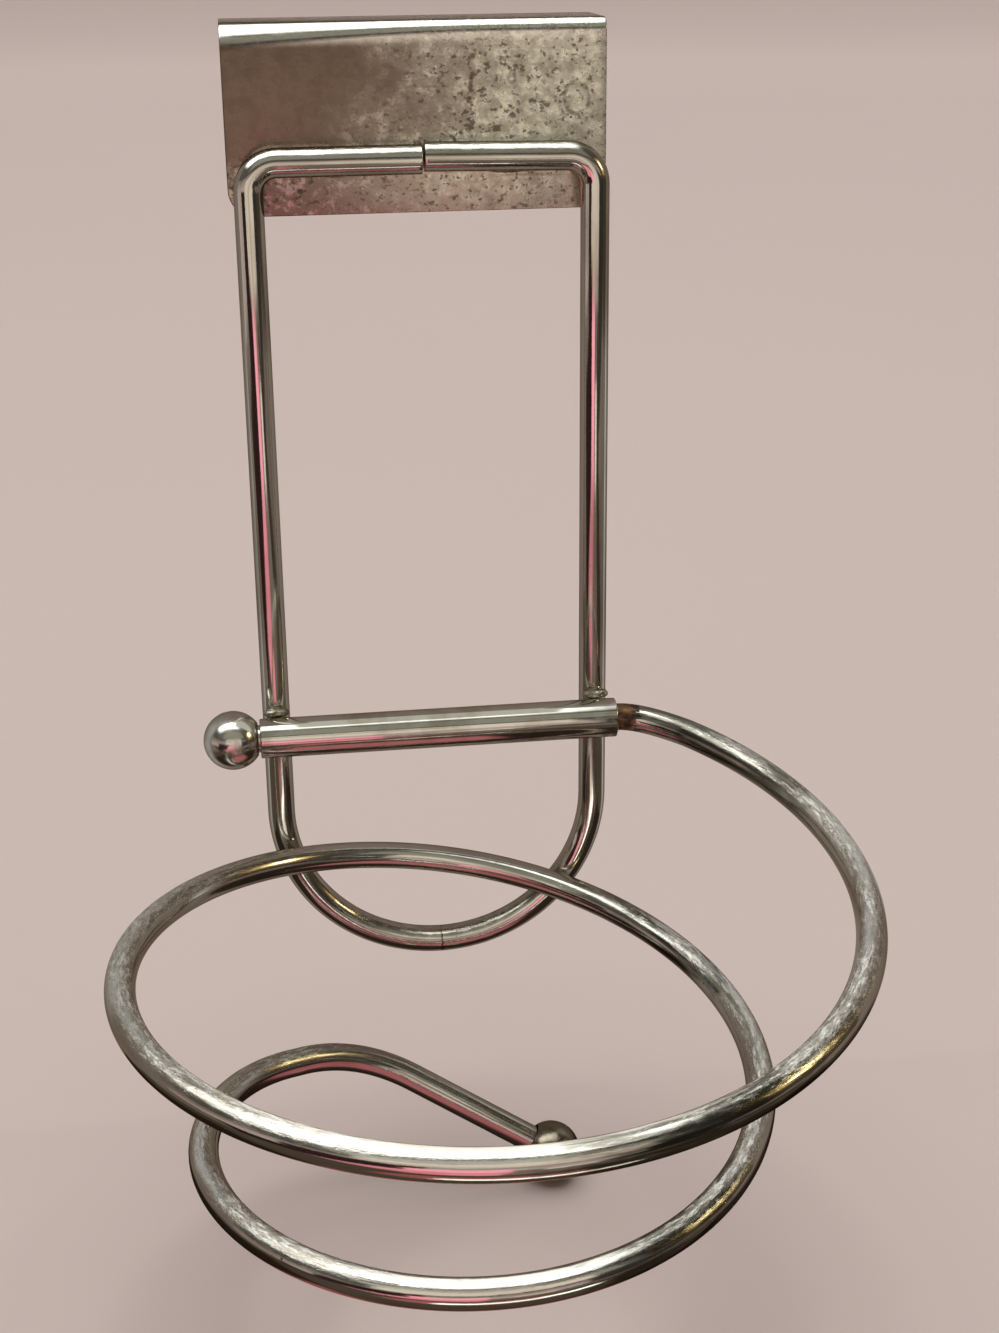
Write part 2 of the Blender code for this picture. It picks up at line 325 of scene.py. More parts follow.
class ShaderTree:
    """One material's nodes, added one at a time."""

    def __init__(self, name: str) -> None:
        """Start from the plain shader.

        Args:
            name: the material's name.
        """
        self.material = bpy.data.materials.new(name)
        self.material.use_nodes = True
        self.tree = self.material.node_tree
        self.shader = self.tree.nodes["Principled BSDF"]

    def add(self, kind: str, **settings: object) -> bpy.types.Node:
        """Add a node.

        Args:
            kind: Blender's name of the node.
            settings: the node's own settings.

        Returns:
            The node.
        """
        node = self.tree.nodes.new(kind)
        for name, value in settings.items():
            setattr(node, name, value)
        return node

    def feed(self, target: Socket, value: Number | tuple) -> None:
        """Link a socket to a node's output, or set it.

        Args:
            target: the socket.
            value: the output, or what the socket is set to.
        """
        if isinstance(value, bpy.types.NodeSocket):
            self.tree.links.new(value, target)
        elif target.type == "RGBA" and isinstance(value, tuple) and len(value) == 3:
            target.default_value = (*value, 1.0)
        else:
            target.default_value = value

    def set(self, name: str, value: Number | tuple) -> None:
        """Feed one of the shader's own sockets."""
        self.feed(self.shader.inputs[name], value)

    def plate(
        self,
        colour: Socket,
        metal: Number,
        rough: Socket,
        relief: Socket,
        edge_tint: Colour | None = None,
    ) -> bpy.types.Material:
        """Feed the shader's sockets for plated metal.

        Args:
            colour: its colour.
            metal: how metallic it is.
            rough: how rough it is.
            relief: its turned normal.
            edge_tint: its tint where it is seen at a slant, if it has one.

        Returns:
            The finished material.
        """
        self.set("Base Color", colour)
        self.set("Metallic", metal)
        self.set("Roughness", rough)
        self.set("Normal", relief)
        if edge_tint is not None:
            self.set("Specular Tint", edge_tint)
        return self.material

    def object_place(self) -> Socket:
        """The surface's place in the object."""
        return self.add("ShaderNodeTexCoord").outputs["Object"]

    def kept(self, name: str, output: str = "Vector") -> Socket:
        """A vector or number that the mesh keeps for each vertex."""
        return self.add("ShaderNodeAttribute", attribute_name=name).outputs[output]

    def scaled(self, vector: Socket, scale: Place) -> Socket:
        """Scale a place along each axis.

        Args:
            vector: the place.
            scale: the three factors.

        Returns:
            The scaled place.
        """
        node = self.add("ShaderNodeMapping")
        self.feed(node.inputs["Vector"], vector)
        self.feed(node.inputs["Scale"], scale)
        return node.outputs["Vector"]

    def noise(self, vector: Socket, scale: float, detail: float = 2.0, rough: float = 0.5) -> Socket:
        """Soft cloudy noise about one half.

        Args:
            vector: where it is read.
            scale: features in each unit of the vector.
            detail: finer layers on top.
            rough: how much the finer layers count.

        Returns:
            The noise.
        """
        node = self.add("ShaderNodeTexNoise")
        self.feed(node.inputs["Vector"], vector)
        self.feed(node.inputs["Scale"], scale)
        self.feed(node.inputs["Detail"], detail)
        self.feed(node.inputs["Roughness"], rough)
        return node.outputs["Fac"]

    def grain(self, vector: Socket, scale: Place, detail: float = 3.0, rough: float = 0.6) -> Socket:
        """Noise that is drawn out, with its own number of features in a metre along each axis."""
        return self.noise(self.scaled(vector, scale), 1.0, detail, rough)

    def spots(self, vector: Socket, scale: float, radius: float, share: float) -> Socket:
        """Small round spots in some of the cells of a scattered pattern.

        Args:
            vector: where it is read.
            scale: cells in each unit of the vector.
            radius: a spot's radius in cells.
            share: the share of cells that hold a spot.

        Returns:
            1 in the middle of a spot and 0 outside.
        """
        faint_share = 0.06
        core_share = 0.45
        node = self.add("ShaderNodeTexVoronoi", feature="F1")
        self.feed(node.inputs["Vector"], vector)
        self.feed(node.inputs["Scale"], scale)
        red = self.add("ShaderNodeSeparateColor")
        self.feed(red.inputs["Color"], node.outputs["Color"])
        held = self.band(red.outputs["Red"], 1 - share, 1 - share + faint_share)
        return self.times(held, self.band(node.outputs["Distance"], radius, radius * core_share))

    def band(
        self, value: Socket, low: float, high: float, to_low: float = 0.0, to_high: float = 1.0
    ) -> Socket:
        """Ease a value from one range to another.

        Args:
            value: the number to ease.
            low: where the result is to_low.
            high: where the result is to_high. It may be below low.
            to_low: the result's first end.
            to_high: the result's other end.

        Returns:
            The eased number.
        """
        node = self.add("ShaderNodeMapRange", interpolation_type="SMOOTHSTEP")
        if low > high:
            low, high, to_low, to_high = high, low, to_high, to_low
        numbers = {"Value": value, "From Min": low, "From Max": high, "To Min": to_low, "To Max": to_high}
        for name, number in numbers.items():
            self.feed(node.inputs[name], number)
        return node.outputs["Result"]

    def swing(self, noise: Socket, reach: float, low: float = 0.25) -> Socket:
        """Spread noise as far to one side of nothing as to the other."""
        return self.band(noise, low, 1 - low, -reach, reach)

    def reckon(self, way: str, first: Number, second: Number = 0.0) -> Socket:
        """Do one sum on two numbers.

        Args:
            way: Blender's name of the sum.
            first: the first number.
            second: the second number.

        Returns:
            The result.
        """
        node = self.add("ShaderNodeMath", operation=way)
        self.feed(node.inputs[0], first)
        self.feed(node.inputs[1], second)
        return node.outputs["Value"]

    def reckon_all(self, way: str, first: Number, others: tuple[Number, ...]) -> Number:
        """Do one kind of sum on several numbers, one after another.

        Args:
            way: Blender's name of the sum.
            first: the first number.
            others: the rest.

        Returns:
            The result.
        """
        for other in others:
            first = self.reckon(way, first, other)
        return first

    def times(self, first: Number, *others: Number) -> Number:
        """The product of several numbers."""
        return self.reckon_all("MULTIPLY", first, others)

    def plus(self, first: Number, *others: Number) -> Number:
        """The sum of several numbers."""
        return self.reckon_all("ADD", first, others)

    def most(self, first: Number, *others: Number) -> Number:
        """The greatest of several numbers."""
        return self.reckon_all("MAXIMUM", first, others)

    def apart(self, value: Socket, middle: float, *swings: Socket) -> Socket:
        """How far a number, with its swings, lies from a middle one."""
        return self.reckon("ABSOLUTE", self.plus(value, -middle, *swings))

    def rest_of(self, share: Socket) -> Socket:
        """What a share leaves of the whole."""
        return self.reckon("SUBTRACT", 1.0, share)

    def blend(self, share: Socket, first: Socket | Colour, second: Socket | Colour) -> Socket:
        """Mix two colours.

        Args:
            share: how much of the second there is.
            first: the first colour.
            second: the second colour.

        Returns:
            The mixed colour.
        """
        node = self.add("ShaderNodeMix", data_type="RGBA")
        # The node's sockets go by number, because their names repeat for other kinds of value
        factor, first_colour, second_colour, mixed = 0, 6, 7, 2
        self.feed(node.inputs[factor], share)
        self.feed(node.inputs[first_colour], first)
        self.feed(node.inputs[second_colour], second)
        return node.outputs[mixed]

    def distance_to(self, vector: Socket, place: Place) -> Socket:
        """Measure how far the surface lies from a place.

        Args:
            vector: the surface's place.
            place: the place that it is measured from.

        Returns:
            The distance.
        """
        node = self.add("ShaderNodeVectorMath", operation="DISTANCE")
        self.feed(node.inputs[0], vector)
        self.feed(node.inputs[1], place)
        return node.outputs["Value"]

    def flat_distance(self, vector: Socket, stretch: Place, x: float, z: float) -> Socket:
        """How far the surface lies from a place seen from the front, on axes stretched by factors."""
        return self.distance_to(self.scaled(vector, stretch), (stretch[0] * x, 0.0, stretch[2] * z))

    def axes(self, vector: Socket) -> tuple[Socket, Socket, Socket]:
        """Take a vector apart.

        Args:
            vector: the vector.

        Returns:
            Its three numbers.
        """
        node = self.add("ShaderNodeSeparateXYZ")
        self.feed(node.inputs["Vector"], vector)
        return node.outputs["X"], node.outputs["Y"], node.outputs["Z"]

    def bump(self, height: Socket, depth: float, strength: float, under: Socket | None = None) -> Socket:
        """Small relief on the surface.

        Args:
            height: 0 to 1.
            depth: how far 1 lies above 0, in metres.
            strength: how much of it shows.
            under: relief that this one lies on.

        Returns:
            The turned normal.
        """
        node = self.add("ShaderNodeBump")
        self.feed(node.inputs["Height"], height)
        self.feed(node.inputs["Distance"], depth)
        self.feed(node.inputs["Strength"], strength)
        if under is not None:
            self.feed(node.inputs["Normal"], under)
        return node.outputs["Normal"]


@dataclass(frozen=True)
class RodChrome:
    """Chrome on drawn rod: streaked lengthwise, scuffed where things rub, and rusty at one place.

    Grains are features in a metre along the rod and across it. Places and reaches are
    lengths along the rod, and a film is its middle and half its length.
    """

    name: str
    bright: Colour = (0.62, 0.61, 0.56)
    dull: Colour = (0.30, 0.275, 0.22)
    scuffed: Colour = (0.80, 0.795, 0.76)
    rust: Colour = (0.17, 0.078, 0.028)
    dark_rust: Colour = (0.020, 0.010, 0.006)
    film: Colour = (0.13, 0.125, 0.10)
    edge_tint: Colour = (0.60, 0.53, 0.46)
    gloss: float = 0.07
    scuff_gloss: float = 0.24
    drawn_grain: Place = (9.0, 2600.0, 2600.0)
    cloud_grain: Place = (30.0, 190.0, 190.0)
    patch_grain: Place = (70.0, 260.0, 260.0)
    smear_grain: Place = (420.0, 2000.0, 2000.0)
    speckle_grain: Place = (1500.0, 2600.0, 2600.0)
    film_grain: Place = (55.0, 620.0, 620.0)
    flake_grain: Place = (300.0, 480.0, 480.0)
    wave_grain: Place = (60.0, 260.0, 260.0)
    pit_cells: float = 640.0
    rust_middle: float | None = None
    rust_reach: float = 0.0042
    rust_fray: float = 0.0018
    # A thin dark ring round the rod at one place along it, with its half width and raggedness
    dark_ring: float | None = None
    dark_ring_half: float = 0.00022
    dark_ring_fray: float = 0.0002
    films: tuple[Pair, ...] = ()
    film_fray: float = 0.008

    def rusted(self, tree: ShaderTree, along: Socket, smear: Socket) -> Socket:
        """Show how rusty the rod is: most about one place on its length, with a ragged end.

        Args:
            tree: the material's nodes.
            along: the length along the rod.
            smear: fine noise that makes the ends ragged.

        Returns:
            0 to 1 over the rod.
        """
        far = tree.apart(along, self.rust_middle)
        ragged = tree.plus(far, tree.swing(smear, self.rust_fray))
        return tree.band(ragged, self.rust_reach, self.rust_reach * 0.72)

    def dark_ring_mask(self, tree: ShaderTree, along: Socket, smear: Socket, patch: Socket) -> Socket:
        """Show where the thin dark ring lies across the rod.

        Args:
            tree: the material's nodes.
            along: the length along the rod.
            smear: fine noise that makes the ring ragged.
            patch: broad noise that breaks it.

        Returns:
            1 on the ring and 0 elsewhere.
        """
        off = tree.apart(along, self.dark_ring, tree.swing(smear, self.dark_ring_fray, 0.2))
        return tree.times(tree.band(off, self.dark_ring_half, self.dark_ring_half * 0.4), tree.band(patch, 0.35, 0.55))

    def filmed(self, tree: ShaderTree, place: Socket, along: Socket, patch: Socket) -> Socket:
        """Show where a dark film dulls the plating.

        Args:
            tree: the material's nodes.
            place: the place on the straight rod.
            along: the length along the rod.
            patch: broad noise that makes the film's ends ragged.

        Returns:
            0 to 1 over the rod.
        """
        ragged = tree.swing(patch, self.film_fray)
        zones = [
            tree.band(tree.plus(tree.apart(along, middle), ragged), half, half * 0.5)
            for middle, half in self.films
        ]
        streaks = tree.grain(place, self.film_grain)
        return tree.times(tree.most(*zones), tree.band(streaks, 0.36, 0.56, 0.15, 0.92))

    def make(self) -> bpy.types.Material:
        """Build the finish on the rod's straight coordinates.

        Returns:
            The material.
        """
        tree = ShaderTree(self.name)
        place = tree.kept("rod_place")
        along = tree.axes(place)[0]
        rub = tree.kept("rub", "Fac")
        drawn = tree.grain(place, self.drawn_grain)
        cloudy = tree.grain(place, self.cloud_grain, rough=0.55)
        patch = tree.grain(place, self.patch_grain)
        smear = tree.grain(place, self.smear_grain, rough=0.65)
        speckle = tree.grain(place, self.speckle_grain, detail=2.0)
        pits = tree.spots(place, self.pit_cells, 0.16, 0.05)

        scuff = tree.times(rub, tree.band(patch, 0.30, 0.58, 0.25, 1.0))
        flecks = tree.times(scuff, tree.band(smear, 0.50, 0.62))
        scores = tree.times(scuff, tree.band(smear, 0.46, 0.34))
        colour = tree.blend(tree.band(cloudy, 0.44, 0.74, 0.0, 0.70), self.bright, self.dull)
        colour = tree.blend(tree.band(drawn, 0.50, 0.74, 0.0, 0.45), colour, self.dull)
        colour = tree.blend(tree.times(scores, 0.75), colour, self.dull)
        if self.films:
            colour = tree.blend(self.filmed(tree, place, along, patch), colour, self.film)
        colour = tree.blend(tree.times(flecks, 0.9), colour, self.scuffed)
        colour = tree.blend(tree.times(pits, 0.85), colour, self.dark_rust)
        rough = tree.plus(
            self.gloss,
            tree.band(drawn, 0.35, 0.70, 0.0, 0.05),
            tree.band(cloudy, 0.45, 0.75, 0.0, 0.06),
            tree.times(scuff, tree.band(speckle, 0.30, 0.70, self.scuff_gloss * 0.5, self.scuff_gloss)),
            tree.times(flecks, 0.16),
            tree.times(pits, 0.35),
        )
        metal: Number = 1.0
        if self.rust_middle is not None:
            rusty = self.rusted(tree, along, smear)
            flakes = tree.grain(place, self.flake_grain, 4.0, 0.65)
            rust = tree.blend(tree.band(flakes, 0.40, 0.53), self.rust, self.dark_rust)
            colour = tree.blend(tree.times(rusty, 0.95), colour, rust)
            rough = tree.plus(rough, tree.times(rusty, tree.band(flakes, 0.35, 0.65, 0.22, 0.45)))
            metal = tree.band(rusty, 0.0, 1.0, 1.0, 0.45)
        # A thin dark ring round the rod at one place
        if self.dark_ring is not None:
            mark = self.dark_ring_mask(tree, along, smear, patch)
            colour = tree.blend(tree.times(mark, 0.8), colour, self.dark_rust)
        relief = tree.bump(tree.grain(place, self.wave_grain, 2.0, 0.5), 0.0002, 0.16)
        relief = tree.bump(drawn, 0.00004, 0.18, relief)
        relief = tree.bump(tree.times(smear, tree.plus(scuff, 0.04)), 0.0002, 0.62, relief)
        relief = tree.bump(tree.rest_of(pits), 0.0001, 0.5, relief)
        return tree.plate(colour, metal, rough, relief, self.edge_tint)


@dataclass(frozen=True)
class TurnedChrome:
    """Chrome plate on the straight sleeve and on the balls, read on the object's own axes."""

    name: str
    streak: Place = (10.0, 2400.0, 2400.0)
    bright: Colour = (0.63, 0.62, 0.57)
    dull: Colour = (0.40, 0.375, 0.30)
    rust: Colour = (0.10, 0.042, 0.016)
    edge_tint: Colour = (0.60, 0.53, 0.46)
    gloss: float = 0.11
    cloud_scale: float = 140.0
    smudge_scale: float = 420.0
    pit_cells: float = 560.0
    rust_place: Place | None = None
    rust_reach: float = 0.003
    rust_fray: float = 0.0012

    def make(self) -> bpy.types.Material:
        """Build the finish.

        Returns:
            The material.
        """
        tree = ShaderTree(self.name)
        place = tree.object_place()
        drawn = tree.grain(place, self.streak)
        cloudy = tree.noise(place, self.cloud_scale, 3.0, 0.55)
        smudge = tree.noise(place, self.smudge_scale, 3.0, 0.6)
        pits = tree.spots(place, self.pit_cells, 0.15, 0.06)
        colour = tree.blend(tree.band(cloudy, 0.42, 0.72, 0.0, 0.7), self.bright, self.dull)
        colour = tree.blend(tree.band(drawn, 0.52, 0.76, 0.0, 0.4), colour, self.dull)
        colour = tree.blend(tree.times(pits, 0.85), colour, self.rust)
        rough = tree.plus(
            self.gloss,
            tree.band(drawn, 0.35, 0.70, 0.0, 0.05),
            tree.band(smudge, 0.45, 0.72, 0.0, 0.10),
            tree.times(pits, 0.35),
        )
        if self.rust_place is not None:
            near = tree.plus(tree.distance_to(place, self.rust_place), tree.swing(smudge, self.rust_fray))
            rusty = tree.band(near, self.rust_reach, self.rust_reach * 0.55)
            colour = tree.blend(tree.times(rusty, 0.8), colour, self.rust)
            rough = tree.plus(rough, tree.times(rusty, 0.35))
        relief = tree.bump(cloudy, 0.0002, 0.10)
        relief = tree.bump(drawn, 0.00004, 0.16, relief)
        relief = tree.bump(tree.rest_of(pits), 0.0001, 0.5, relief)
        return tree.plate(colour, 1.0, rough, relief, self.edge_tint)


@dataclass(frozen=True)
class TarnishAndReflectionSheet:
    """Old chrome on the hook's sheet: darkened to one side by a painted dark reflection, mottled, pitted and
    stained to the other, with a painted dark-to-pink reflection along its lower strip.

    A pair is a stretch across the hook, or from one height to another, over which
    something comes in. Rings and blots are places across and up, with their radii.
    """

    name: str
    clean: Colour = (0.64, 0.645, 0.54)
    # Painted dark reflection: the colour of the sheet's left side, as if it mirrored dark surroundings
    painted_dark_reflection: Colour = (0.165, 0.120, 0.092)
    # Painted reflection on the strip under the bar: dark brown at its left end, pale pink at its right
    painted_strip_dark_reflection: Colour = (0.19, 0.175, 0.138)
    painted_strip_pink_reflection: Colour = (0.83, 0.70, 0.60)
    polished: Colour = (0.66, 0.65, 0.59)
    mottle: Colour = (0.24, 0.22, 0.165)
    stain: Colour = (0.085, 0.062, 0.038)
    bloom: Colour = (0.80, 0.80, 0.70)
    edge_tint: Colour = (0.75, 0.68, 0.60)
    gloss: float = 0.25
    bend_gloss: float = 0.10
    broad_scale: float = 75.0
    vein_scale: float = 250.0
    cloud_scale: float = 380.0
    fine_scale: float = 1500.0
    speck_grain: Place = (900.0, 900.0, 1200.0)
    wobble_grain: Place = (90.0, 90.0, 260.0)
    scratch_grain: Place = (60.0, 900.0, 1500.0)
    fine_pit_cells: float = 1150.0
    wide_pit_cells: float = 560.0
    # Where the painted dark reflection fades out across the sheet
    dark_reflection_across: Pair = (-0.016, 0.027)
    aged_across: Pair = (-0.014, 0.007)
    across_fray: float = 0.007
    # Where the strip's painted reflection turns from dark to pink
    strip_down: Pair = (-0.019, -0.024)
    strip_reflection_across: Pair = (-0.026, 0.020)
    patch_across: Pair = (-0.018, -0.008)
    patch_down: Pair = (-0.009, -0.015)
    polish_up: Pair = (-0.0030, -0.0012)
    vein_width: Pair = (0.020, 0.005)
    stain_line: float = 0.0089
    stain_width: Pair = (0.0005, 0.0001)
    stain_up: Pair = (-0.0175, -0.0165)
    stain_fray: float = 0.0012
    ring_width: Pair = (0.0004, 0.0001)
    ring_stretch: Place = (1.0, 0.0, 0.8)
    rings: tuple[Place, ...] = ((0.0268, -0.0118, 0.0021), (0.0157, -0.0084, 0.0006))
    blot_fray: float = 0.0006
    blot_stretch: Place = (0.75, 0.0, 1.3)
    blots: tuple[Place, ...] = (
        (0.0130, -0.0165, 0.0009),
        (0.0213, -0.0127, 0.0006),
        (0.0196, -0.0122, 0.0005),
        (0.0157, -0.0145, 0.0006),
        (0.0252, -0.0146, 0.0005),
        (-0.0209, -0.0262, 0.0005),
        (0.0084, -0.0163, 0.0007),
    )

    def marked(self, tree: ShaderTree, place: Socket, aged: Socket) -> Socket:
        """Show where dark pits, blots and the long stain lie.

        Args:
            tree: the material's nodes.
            place: the surface's place.
            aged: how worn the plating is there.

        Returns:
            1 on a mark and 0 elsewhere.
        """
        across, _, height = tree.axes(place)
        specks = tree.grain(place, self.speck_grain, rough=0.62)
        wobble = tree.grain(place, self.wobble_grain)
        pitting = tree.plus(tree.times(aged, 0.60), 0.08)
        fine_pits = tree.times(tree.spots(place, self.fine_pit_cells, 0.32, 0.24), pitting)
        wide_pits = tree.times(tree.spots(place, self.wide_pit_cells, 0.16, 0.08), pitting)
        marks = tree.times(tree.band(specks, 0.585, 0.675), tree.plus(tree.times(aged, 0.80), 0.04))
        off = tree.apart(across, self.stain_line, tree.swing(wobble, self.stain_fray, 0.2))
        line = tree.times(tree.band(off, *self.stain_width), tree.band(specks, 0.44, 0.56))
        streak = tree.times(line, tree.band(height, *self.stain_up))
        marks = tree.most(marks, fine_pits, wide_pits, tree.times(streak, 0.8))
        ragged = tree.swing(specks, self.blot_fray)
        for x, z, radius in self.blots:
            near = tree.plus(tree.flat_distance(place, self.blot_stretch, x, z), ragged)
            marks = tree.most(marks, tree.band(near, radius, radius * 0.4, 0.0, 0.85))
        for x, z, radius in self.rings:
            ring = tree.apart(tree.flat_distance(place, self.ring_stretch, x, z), radius)
            faint = tree.times(tree.band(ring, *self.ring_width), tree.band(specks, 0.40, 0.62, 0.05, 0.55))
            marks = tree.most(marks, faint)
        return marks

    def make(self) -> bpy.types.Material:
        """Build the finish.

        Returns:
            The material.
        """
        tree = ShaderTree(self.name)
        place = tree.object_place()
        across, _, height = tree.axes(place)
        broad = tree.noise(place, self.broad_scale, 3.0, 0.55)
        cloudy = tree.noise(place, self.cloud_scale, 4.0, 0.65)
        veins = tree.band(tree.apart(tree.noise(place, self.vein_scale, 4.0, 0.62), 0.5), *self.vein_width)
        fine = tree.noise(place, self.fine_scale, 3.0, 0.6)
        scratched = tree.grain(place, self.scratch_grain)

        wandering = tree.plus(across, tree.swing(broad, self.across_fray, 0.2))
        rightness = tree.band(wandering, *self.dark_reflection_across)
        lowness = tree.band(height, *self.strip_down)
        patch = tree.times(tree.band(across, *self.patch_across), tree.band(height, *self.patch_down), 0.45)
        aged = tree.most(tree.band(wandering, *self.aged_across), tree.times(lowness, 0.65), patch)
        polish = tree.band(height, *self.polish_up)
        marks = tree.times(self.marked(tree, place, aged), tree.band(polish, 0.0, 1.0, 1.0, 0.15))

        # Painted reflection: the sheet is darkened towards the left and stays pale to the right
        colour = tree.blend(rightness, self.painted_dark_reflection, self.clean)
        # Painted reflection: the strip under the bar is tinted as if it mirrored pink surroundings; its
        # extra pits and tarnish are its own
        strip_reflection = tree.blend(tree.band(across, *self.strip_reflection_across), self.painted_strip_dark_reflection, self.painted_strip_pink_reflection)
        colour = tree.blend(tree.times(lowness, 0.80), colour, strip_reflection)
        colour = tree.blend(tree.times(polish, 0.85), colour, self.polished)
        clouds = tree.band(cloudy, 0.46, 0.68, 0.0, 0.40)
        mottled = tree.times(clouds, tree.band(rightness, 0.1, 0.8, 0.1, 1.0))
        colour = tree.blend(mottled, colour, self.mottle)
        colour = tree.blend(tree.band(fine, 0.52, 0.74, 0.0, 0.20), colour, self.stain)
        colour = tree.blend(tree.times(tree.band(cloudy, 0.48, 0.36), aged, 0.50), colour, self.bloom)
        colour = tree.blend(tree.times(veins, aged, 0.42), colour, self.mottle)
        colour = tree.blend(tree.times(tree.band(fine, 0.52, 0.68), aged, 0.45), colour, self.bloom)
        colour = tree.blend(tree.band(scratched, 0.60, 0.78, 0.0, 0.35), colour, self.mottle)
        colour = tree.blend(tree.times(marks, 0.68), colour, self.stain)
        rough = tree.plus(
            tree.band(polish, 0.0, 1.0, self.gloss, self.bend_gloss),
            tree.band(cloudy, 0.40, 0.70, 0.0, 0.12),
            tree.times(tree.band(fine, 0.45, 0.70), aged, 0.12),
            tree.band(scratched, 0.55, 0.75, 0.0, 0.08),
            tree.times(marks, 0.32),
        )
        metal = tree.band(marks, 0.0, 1.0, 1.0, 0.60)
        relief = tree.bump(broad, 0.0004, 0.12)
        relief = tree.bump(cloudy, 0.00012, 0.16, relief)
        relief = tree.bump(tree.times(fine, tree.plus(aged, 0.15)), 0.00006, 0.22, relief)
        relief = tree.bump(tree.rest_of(marks), 0.00012, 0.40, relief)
        return tree.plate(colour, metal, rough, relief, self.edge_tint)


@dataclass(frozen=True)
class WeldMetal:
    """Plated weld metal, darker and rougher than the rods, with brown in its folds."""

    name: str
    bright: Colour = (0.42, 0.40, 0.335)
    burnt: Colour = (0.14, 0.105, 0.065)
    gloss: float = 0.20
    lump_scale: float = 620.0
    grain_scale: float = 2400.0

    def make(self) -> bpy.types.Material:
        """Build the finish.

        Returns:
            The material.
        """
        tree = ShaderTree(self.name)
        place = tree.object_place()
        lumps = tree.noise(place, self.lump_scale, 3.0, 0.6)
        grain = tree.noise(place, self.grain_scale, 2.0, 0.6)
        colour = tree.blend(tree.band(lumps, 0.42, 0.66, 0.0, 0.85), self.bright, self.burnt)
        colour = tree.blend(tree.band(grain, 0.55, 0.75, 0.0, 0.4), colour, self.burnt)
        rough = tree.plus(
            self.gloss,
            tree.band(lumps, 0.35, 0.70, 0.0, 0.22),
            tree.band(grain, 0.4, 0.7, 0.0, 0.10),
        )
        relief = tree.bump(lumps, 0.0004, 0.35)
        relief = tree.bump(grain, 0.0001, 0.25, relief)
        return tree.plate(colour, 1.0, rough, relief)


# Rods


@dataclass
class BentRod:
    """Round rod stock, modelled straight and then bent along its centre line."""

    name: str
    path: np.ndarray
    radius: float = 0.0025
    sides: int = 40
    pitch: float = 0.0009
    rim: float = 0.0003

    def length(self) -> float:
        """The centre line's length."""
        return float(np.linalg.norm(np.diff(self.path, axis=0), axis=1).sum())

    def straight(self) -> Thing:
        """Model the straight stock along X, its ends eased and its length cut into short rings.

        Returns:
            The object, with its straight coordinates kept for the finish.
        """
        length = self.length()
        rod = add_bar(self.name, self.sides, self.radius, length, (length / 2, 0, 0))
        pick(rod, Element.EDGE, lambda a, b: abs(a.x - b.x) < length / 4)
        ease_edges(self.rim)
        cuts = math.ceil(math.sqrt(length / self.pitch))
        for longest in (length / 2, length / cuts / 2):
            pick(rod, Element.EDGE, lambda a, b: abs(a.x - b.x) > longest)
            bpy.ops.mesh.subdivide(number_cuts=cuts - 1)
        deselect()
        keep_vectors(rod, "rod_place", points_of(rod))
        return rod

    def guide(self) -> Thing:
        """Draw the centre line as a curve that bends the stock.

        Returns:
            The curve's object.
        """
        curve = bpy.data.curves.new(f"{self.name}_line", "CURVE")
        curve.dimensions = "3D"
        curve.twist_mode = "MINIMUM"
        spline = curve.splines.new("POLY")
        spline.points.add(len(self.path) - 1)
        spline.points.foreach_set("co", np.column_stack([self.path, np.ones(len(self.path))]).ravel())
        line = bpy.data.objects.new(f"{self.name}_line", curve)
        bpy.context.scene.collection.objects.link(line)
        return line

    def build(self) -> Thing:
        """Model the stock and bend it.

        Returns:
            The bent rod.
        """
        rod = self.straight()
        line = self.guide()
        apply_modifier(rod, "CURVE", object=line, deform_axis="POS_X")
        bpy.data.objects.remove(line)
        finish_mesh(rod)
        return rod


def arc(centre: Pair, radius: float, start: float, end: float, steps: int) -> list[Pair]:
    """Lay out points on an arc.

    Args:
        centre: its middle.
        radius: its radius.
        start: the first angle.
        end: the last angle.
        steps: the parts that it is cut into.

    Returns:
        The points, as pairs.
    """
    angles = np.linspace(start, end, steps + 1)
    return [(centre[0] + radius * math.cos(a), centre[1] + radius * math.sin(a)) for a in angles]


def rounded(before: np.ndarray, corner: np.ndarray, after: np.ndarray, steps: int) -> np.ndarray:
    """Lay out the smooth bend that leaves and joins the two legs of a corner along them.

    Args:
        before: where the bend leaves the first leg.
        corner: where the legs would meet.
        after: where the bend joins the second leg.
        steps: the parts that it is cut into.

    Returns:
        The points, a row each.
    """
    share = np.linspace(0, 1, steps + 1)[:, None]
    return (1 - share) ** 2 * before + 2 * share * (1 - share) * corner + share**2 * after


# Pieces


@dataclass
class Sizes:
    """Sizes that several pieces share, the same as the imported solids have."""

    rod: float = 0.005
    gap: float = 0.0003
    slot_half: float = 0.0092
    sheet: float = 0.0012
    frame_width: float = 0.059
    bar_z: float = -0.021
    tube_below_bar: float = 0.101
    tube_wall: float = 0.0008
    tube_overhang: float = 0.0007
    ball: float = 0.0107

    plate_y: float = field(init=False)
    frame_y: float = field(init=False)
    bore: float = field(init=False)
    tube_radius: float = field(init=False)
    tube_length: float = field(init=False)
    tube_y: float = field(init=False)
    tube_z: float = field(init=False)
    ball_mouth: float = field(init=False)
    ball_x: float = field(init=False)

    def __post_init__(self) -> None:
        """Work out what follows from the set sizes."""
        self.plate_y = -self.slot_half - self.sheet
        self.frame_y = self.plate_y - self.gap - self.rod / 2
        self.bore = self.rod / 2 + self.gap
        self.tube_radius = self.bore + self.tube_wall
        self.tube_length = self.frame_width + self.rod + 2 * self.tube_overhang
        self.tube_y = self.frame_y - self.rod / 2 - self.gap - self.tube_radius
        self.tube_z = self.bar_z - self.tube_below_bar
        self.ball_mouth = math.sqrt((self.ball / 2) ** 2 - self.bore**2)
        self.ball_x = -(self.tube_length / 2 + self.gap + self.ball_mouth)


